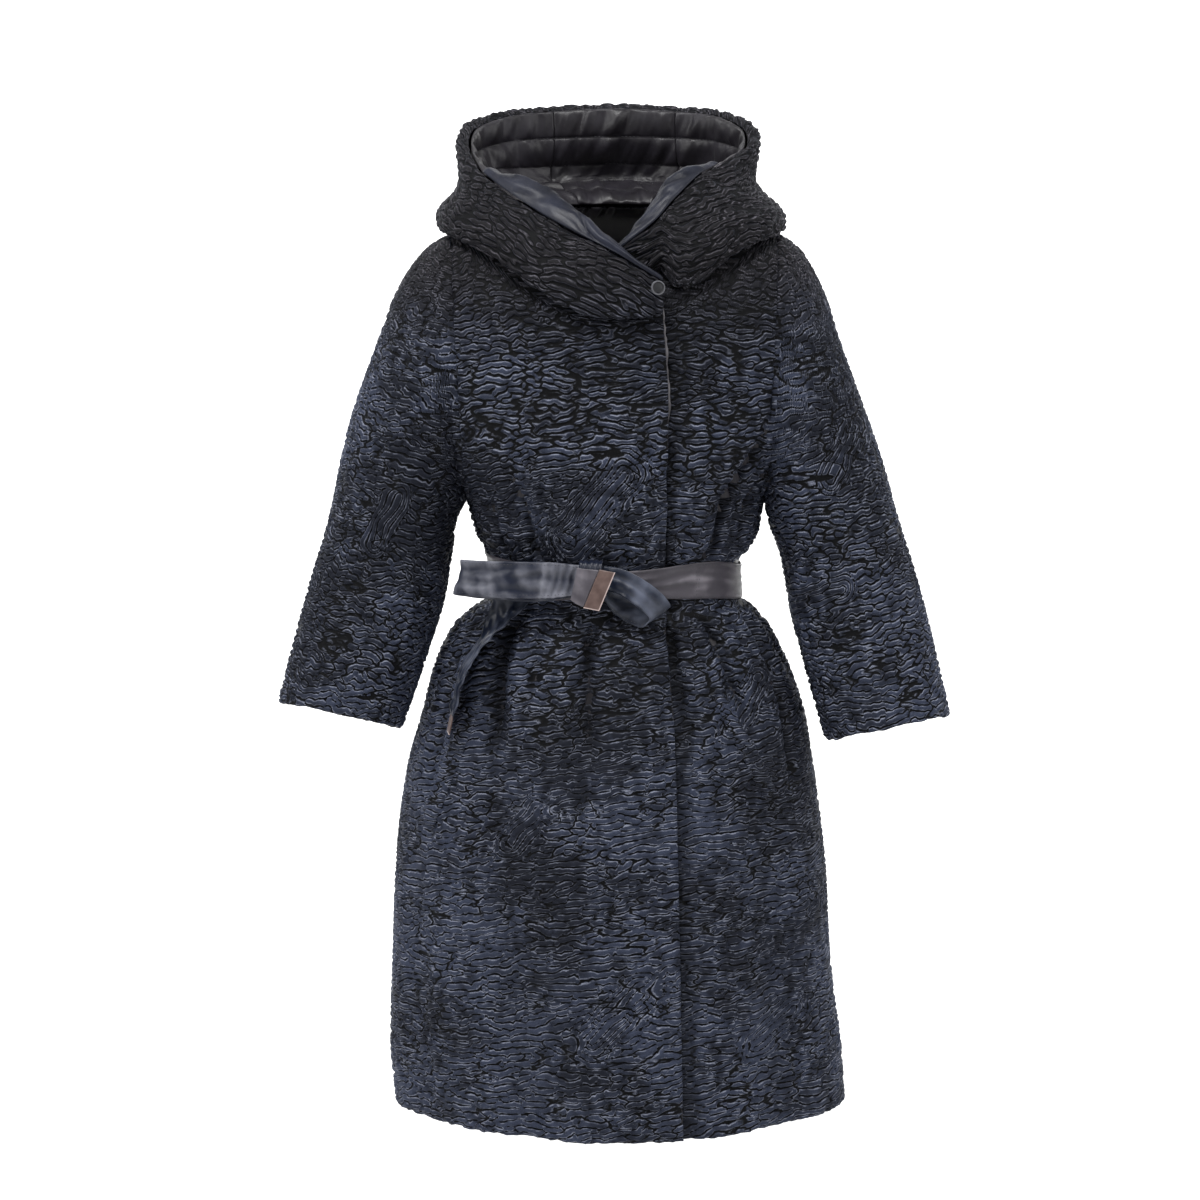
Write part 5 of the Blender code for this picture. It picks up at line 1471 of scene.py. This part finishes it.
def ribbon(name, along, across, finish, seed, crease=0.0032, turn_end=0.0):
    """One stretch of the bow. The belt's last turn covers it as far as turn_end."""
    base = ribbon_grid(name, along, across)
    normal, u, v = grid_measures(base, False)
    drawn = 0.7 + 1.1 * np.exp(-v / 0.035) + 1.1 * np.exp(-(v[-1:] - v) / 0.035)
    soft = crease * (0.9 * hills(v + 0.6 * u, u, 0.045, 0.010, seed) * drawn
                     + 0.7 * hills(v - 0.4 * u, u, 0.015, 0.034, seed + 1)
                     + 0.12 * hills(v, u, 0.008, 0.010, seed + 2))
    soft = np.clip(soft, -0.0036, 0.0036) * ease(-0.002, 0.010, np.minimum(v, v[-1:] - v))
    if turn_end:
        slant, from_start = v + 0.25 * u, v + 0.10 * u
        pleats = 0.0008 * np.sin(2 * np.pi * slant / 0.0085 + 2.0 * hills(v, u, 0.02, 0.02, seed + 3))
        soft = np.where(from_start < turn_end, 0.45 * soft + pleats, soft)
        soft += 0.0022 * (1 - ease(turn_end - 0.0015, turn_end + 0.0015, from_start))
    base = base + normal * (BELT_WALL / 2 + soft)[..., None]
    normal, u, v = grid_measures(base, False)
    rim = 1 - np.clip(np.minimum(u, v[-1:] - v) / 0.0034, 0, 1)
    for column in (2, -3):
        EDGE_LINES.append((base[:, column] + normal[:, column] * STITCH_LIFT, normal[:, column]))
    kind = "cover" if "leather" in name else "satin"
    # Each ribbon's colour is painted lighter where its creases rise, as highlight, and darker where they
    # sink, as shade
    return cloth_shell(f"{kind}_{name}", name, base, -edge_roll(u, v, False, 0.002, 0.0005),
                       BELT_WALL - THINNER, [finish, finish], towards=(base - normal * FAR),
                       marks={"rim": rim, "fold_light": ease(-0.0030, 0.0038, soft)})


# The short loop and the tail are in satin painted darker, as shade; the short end in band satin painted
# lighter, as lit
# The belt's last turn lies over the start of the long loop and ends in a fold across it.
ribbon("belt_loop_left", 156, 26, BOW_SATIN, 151, turn_end=0.044)
ribbon("belt_loop_right", 120, 20, SHADED_LOOP_SATIN, 157)
ribbon("belt_tail", 150, 24, SHADED_LOOP_SATIN, 163)
ribbon("belt_short_end", 24, 26, LIT_BAND_SATIN, 167, crease=0.0008)
for name in ("belt_tail_leather", "belt_short_end_leather"):
    ribbon(name, 20, 30, LEATHER, 173, crease=0.0002)


# %% The knot
def knot_grid(around=84, rows=26, power=0.6):
    """The knot is a short tube with rounded corners, from one loop to the other."""
    turns = np.linspace(0, 2 * math.pi, around, endpoint=False)
    cosine, sine = np.cos(turns), np.sin(turns)
    y = sum(KNOT_Y) / 2 + (KNOT_Y[1] - KNOT_Y[0]) / 2 * np.sign(cosine) * np.abs(cosine) ** power
    z = sum(KNOT_Z) / 2 + (KNOT_Z[1] - KNOT_Z[0]) / 2 * np.sign(sine) * np.abs(sine) ** power
    return np.array([np.stack([np.full(around, x), y, z], -1) for x in np.linspace(*KNOT_X, rows)])


base = knot_grid()
_, u, v = grid_measures(base, True)
pleats = 0.0014 * np.abs(np.sin(v / 0.0052 * np.pi + 0.8 * hills(v, u, 0.02, 0.02, 178)))
pleats += 0.0010 * hills(v, u, 0.007, 0.02, 179)
centre = (sum(KNOT_X) / 2, sum(KNOT_Y) / 2, sum(KNOT_Z) / 2)
cloth_shell("satin_belt_knot", "belt_knot", base, pleats - edge_roll(u, v, True, 0.002, 0.0006),
            BELT_WALL - THINNER, [BOW_SATIN, BOW_SATIN], closed=True, towards=centre)

# %% [markdown]
# ## The snap
#
# The snap is pressed metal: a dark, slightly domed cap in a light raised rim. It is modelled
# by hand from a cylinder. Insets on its top face make the rim and the groove, and a bevel
# rounds them off. It is built at the origin first and then laid on its place.

# %% Model the snap
SNAP_NODE = "snap_button"
SNAP_TURN = -17.3
SNAP_RADIUS, SNAP_HEIGHT, SNAP_SINK = 0.0073, 0.0022, 0.0012
RIM_INSIDE, RIM_OUTSIDE = 0.0060, 0.0076
SNAP_STEPS = ((0.0004, 0.0003), (0.0011, 0.0), (0.0004, -0.0008), (0.0012, 0.0001), (0.0020, 0.0004))
bpy.ops.mesh.primitive_cylinder_add(vertices=64, radius=SNAP_RADIUS, depth=SNAP_HEIGHT,
                                    location=(0, 0, SNAP_HEIGHT / 2))
snap = bpy.context.object
snap.name = "snap_cap"
bpy.ops.object.mode_set(mode="EDIT")
bpy.ops.mesh.select_mode(type="FACE")
bpy.ops.mesh.select_all(action="DESELECT")
shape = bmesh.from_edit_mesh(snap.data)
top = max(shape.faces, key=lambda face: face.calc_center_median().z)
top.select_set(True)
bmesh.update_edit_mesh(snap.data)
for inset, rise in SNAP_STEPS:
    bpy.ops.mesh.inset(thickness=inset, depth=0)
    bpy.ops.transform.translate(value=(0, 0, rise))
bpy.ops.object.mode_set(mode="OBJECT")
rounding = snap.modifiers.new("rounded", "BEVEL")
rounding.width, rounding.segments, rounding.limit_method = 0.0002, 2, "ANGLE"
bpy.ops.object.modifier_apply(modifier="rounded")
print("snap faces:", len(snap.data.polygons))

# %% Lay it on the hood's corner
low, high = (np.array(corner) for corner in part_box(SNAP_NODE))
outward = Vector(polar(SNAP_TURN, 1.0, 0.10)).normalized()
seat = Vector((low + high) / 2) - outward * SNAP_SINK
place = Matrix.Translation(seat) @ outward.to_track_quat("Z", "Y").to_matrix().to_4x4()
snap.data.transform(place)
snap.data.materials.append(SNAP_DARK)
snap.data.materials.append(SNAP_RIM)
for face in snap.data.polygons:
    away = (face.center - seat) - outward * (face.center - seat).dot(outward)
    face.material_index = 1 if RIM_INSIDE < away.length < RIM_OUTSIDE else 0
snap.data.shade_smooth()
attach(snap, "root")
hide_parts(SNAP_NODE)
snap.select_set(False)
print("snap at", [round(value, 3) for value in seat])

# %% [markdown]
# ## Stitches
#
# Small stitches hold the quilting and edge the belt. One stitch is modelled by hand, a short
# thread with round ends, and copied along each seam in a single joined mesh.

# %% One stitch, and a run of them
bpy.ops.mesh.primitive_uv_sphere_add(segments=6, ring_count=4, radius=1.0)
stitch = bpy.context.object
stitch.name = "one_stitch"
bpy.ops.object.mode_set(mode="EDIT")
bpy.ops.mesh.select_all(action="SELECT")
bpy.ops.transform.resize(value=(1.0, 0.28, 0.20))
bpy.ops.object.mode_set(mode="OBJECT")
STITCH_POINTS = np.array([vertex.co[:] for vertex in stitch.data.vertices])
STITCH_FACES = [tuple(face.vertices) for face in stitch.data.polygons]
bpy.data.objects.remove(stitch, do_unlink=True)


def sew(name, lines, finish, length=0.0026, pitch=0.0042):
    """Stitches along lines, each a pair of arrays: points, and the direction they face."""
    points, faces = [], []
    for path, facing in lines:
        steps = np.linalg.norm(np.diff(path, axis=0), axis=1)
        at = np.concatenate([[0], np.cumsum(steps)])
        for where in np.arange(pitch / 2, at[-1], pitch):
            here = np.array([np.interp(where, at, path[:, k]) for k in range(3)])
            ahead = np.array([np.interp(where + 5e-4, at, path[:, k]) for k in range(3)])
            out = np.array([np.interp(where, at, facing[:, k]) for k in range(3)])
            along = ahead - here
            if np.linalg.norm(along) < 1e-7:
                continue
            along /= np.linalg.norm(along)
            out -= out.dot(along) * along
            out /= np.linalg.norm(out)
            turned = np.stack([along, np.cross(out, along), out]) * length / 2
            count = len(points) * len(STITCH_POINTS)
            points.append(here + STITCH_POINTS @ turned)
            faces += [tuple(i + count for i in face) for face in STITCH_FACES]
    mesh = bpy.data.meshes.new(name)
    mesh.from_pydata(np.concatenate(points).tolist(), [], faces)
    mesh.shade_smooth()
    mesh.materials.append(finish)
    piece = bpy.data.objects.new(name, mesh)
    collection.objects.link(piece)
    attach(piece, "root")
    print(f"{name}: {len(points)} stitches")
    return piece


print("points of one stitch:", len(STITCH_POINTS))


# %% Stitch the quilting and the belt
def lining_seam(base, column, off):
    """A column of the lining's grid as a seam line, moved off its face."""
    facing = towards_inside(base)[:, column]
    return base[:, column] + facing * off, facing


quilt_lines = []
for start, stop in ((FACING_ENDS[0] + 1, SEAM_A - 0.5), (SEAM_A + 0.5, SEAM_B - 0.5),
                    (SEAM_B + 0.5, FACING_ENDS[1] - 1)):
    base = hood_grid(lining_section, start, stop, 40, LINING_ROWS)
    for channel in range(1, QUILT_CHANNELS):
        column = round((LINING_ROWS - 1) * channel / QUILT_CHANNELS)
        quilt_lines.append(lining_seam(base, column, SATIN_WALL + 2 * STITCH_LIFT))
sew("stitches_quilting", quilt_lines, THREAD)
sew("stitches_belt", EDGE_LINES, BELT_THREAD, length=0.0022, pitch=0.0040)
print("lines of quilting:", len(quilt_lines), "belt edges:", len(EDGE_LINES))

# %% [markdown]
# ## The studio
#
# A pale floor sweeps up into a pale wall, and broad lamps give soft light from above and
# both sides, as in a product photograph. The camera stands at the height of the collar and
# looks slightly down.

# %% Floor and wall in one sweep
FLOOR_Z = -1.32
SWEEP_WIDTH, SWEEP_DEPTH, SWEEP_HEIGHT, SWEEP_BEND = 16.0, 12.0, 9.0, 2.5
bpy.ops.mesh.primitive_plane_add(size=1.0, location=(0, 0, 0))
sweep = bpy.context.object
sweep.name = "studio_sweep"
bpy.ops.object.mode_set(mode="EDIT")
bpy.ops.mesh.select_all(action="SELECT")
bpy.ops.transform.resize(value=(SWEEP_WIDTH, SWEEP_DEPTH, 1.0))
bpy.ops.mesh.select_mode(type="EDGE")
bpy.ops.mesh.select_all(action="DESELECT")
shape = bmesh.from_edit_mesh(sweep.data)
far = max(shape.edges, key=lambda edge: (edge.verts[0].co + edge.verts[1].co).y)
far.select_set(True)
bmesh.update_edit_mesh(sweep.data)
bpy.ops.mesh.extrude_region_move(TRANSFORM_OT_translate={"value": (0, 0, SWEEP_HEIGHT)})
bpy.ops.mesh.select_all(action="DESELECT")
shape = bmesh.from_edit_mesh(sweep.data)
for edge in shape.edges:
    ends = [vertex.co for vertex in edge.verts]
    edge.select_set(all(abs(end.z) < 1e-6 and end.y > 0.49 * SWEEP_DEPTH for end in ends))
bmesh.update_edit_mesh(sweep.data)
bpy.ops.mesh.bevel(offset=SWEEP_BEND, segments=20)
bpy.ops.object.mode_set(mode="OBJECT")
sweep.data.transform(Matrix.Translation((0, 0, FLOOR_Z)))
sweep.data.shade_smooth()
STUDIO, _, studio_shader = new_finish("pale studio")
studio_shader.inputs["Base Color"].default_value = (0.86, 0.86, 0.86, 1)
studio_shader.inputs["Roughness"].default_value = 0.9
sweep.data.materials.append(STUDIO)
print("sweep faces:", len(sweep.data.polygons))


# %% Lamps
def lamp(name, place, aim, size, power):
    """A flat lamp at a place, turned to face a point."""
    light = bpy.data.lights.new(name, "AREA")
    light.shape, light.size, light.size_y, light.energy = "RECTANGLE", size[0], size[1], power
    made = bpy.data.objects.new(name, light)
    made.location = place
    made.rotation_euler = (Vector(aim) - Vector(place)).to_track_quat("-Z", "Y").to_euler()
    bpy.context.scene.collection.objects.link(made)
    return made


lamp("lamp_top", (-0.5, -1.6, 3.0), COAT_MIDDLE, (1.4, 1.0), 112)
lamp("lamp_left", (-2.8, -1.6, 1.3), COAT_MIDDLE, (1.0, 2.0), 44)
lamp("lamp_right", (2.8, -1.5, 1.3), COAT_MIDDLE, (1.0, 2.0), 34)
lamp("lamp_wall_left", (-2.6, 2.2, 2.2), (-0.6, 5.5, 0.6), (1.6, 1.6), 215)
lamp("lamp_wall_right", (2.6, 2.2, 2.2), (0.6, 5.5, 0.6), (1.6, 1.6), 215)
world = bpy.context.scene.world or bpy.data.worlds.new("studio air")
bpy.context.scene.world = world
world.use_nodes = True
world.node_tree.nodes["Background"].inputs["Color"].default_value = (1.0, 1.0, 1.0, 1)
world.node_tree.nodes["Background"].inputs["Strength"].default_value = 0.42
print("lamps:", len(bpy.data.lights))

# %% Camera
CAMERA_PLACE = (0, -3.0, 0.05)
CAMERA_TILT = 8.549
IMAGE_SIZE = 1200
OFF_CENTRE = 15          # pixels from the coat's middle to the picture's
camera_data = bpy.data.cameras.new("camera")
camera_data.lens, camera_data.sensor_width = 85, 36
camera_data.shift_x = -OFF_CENTRE / IMAGE_SIZE
camera = bpy.data.objects.new("camera", camera_data)
camera.location = CAMERA_PLACE
camera.rotation_euler = (math.radians(90 - CAMERA_TILT), 0, 0)
bpy.context.scene.collection.objects.link(camera)
bpy.context.scene.camera = camera
bpy.context.scene.view_settings.view_transform = "Standard"
print("camera at", CAMERA_PLACE)

# %% [markdown]
# ## The last step
#
# The last step counts the triangles of the finished pieces.

# %% Count the triangles
triangles = sum(len(face.vertices) - 2 for piece in PIECES for face in piece.data.polygons)
print("pieces of cloth:", len(PIECES), "triangles:", triangles)
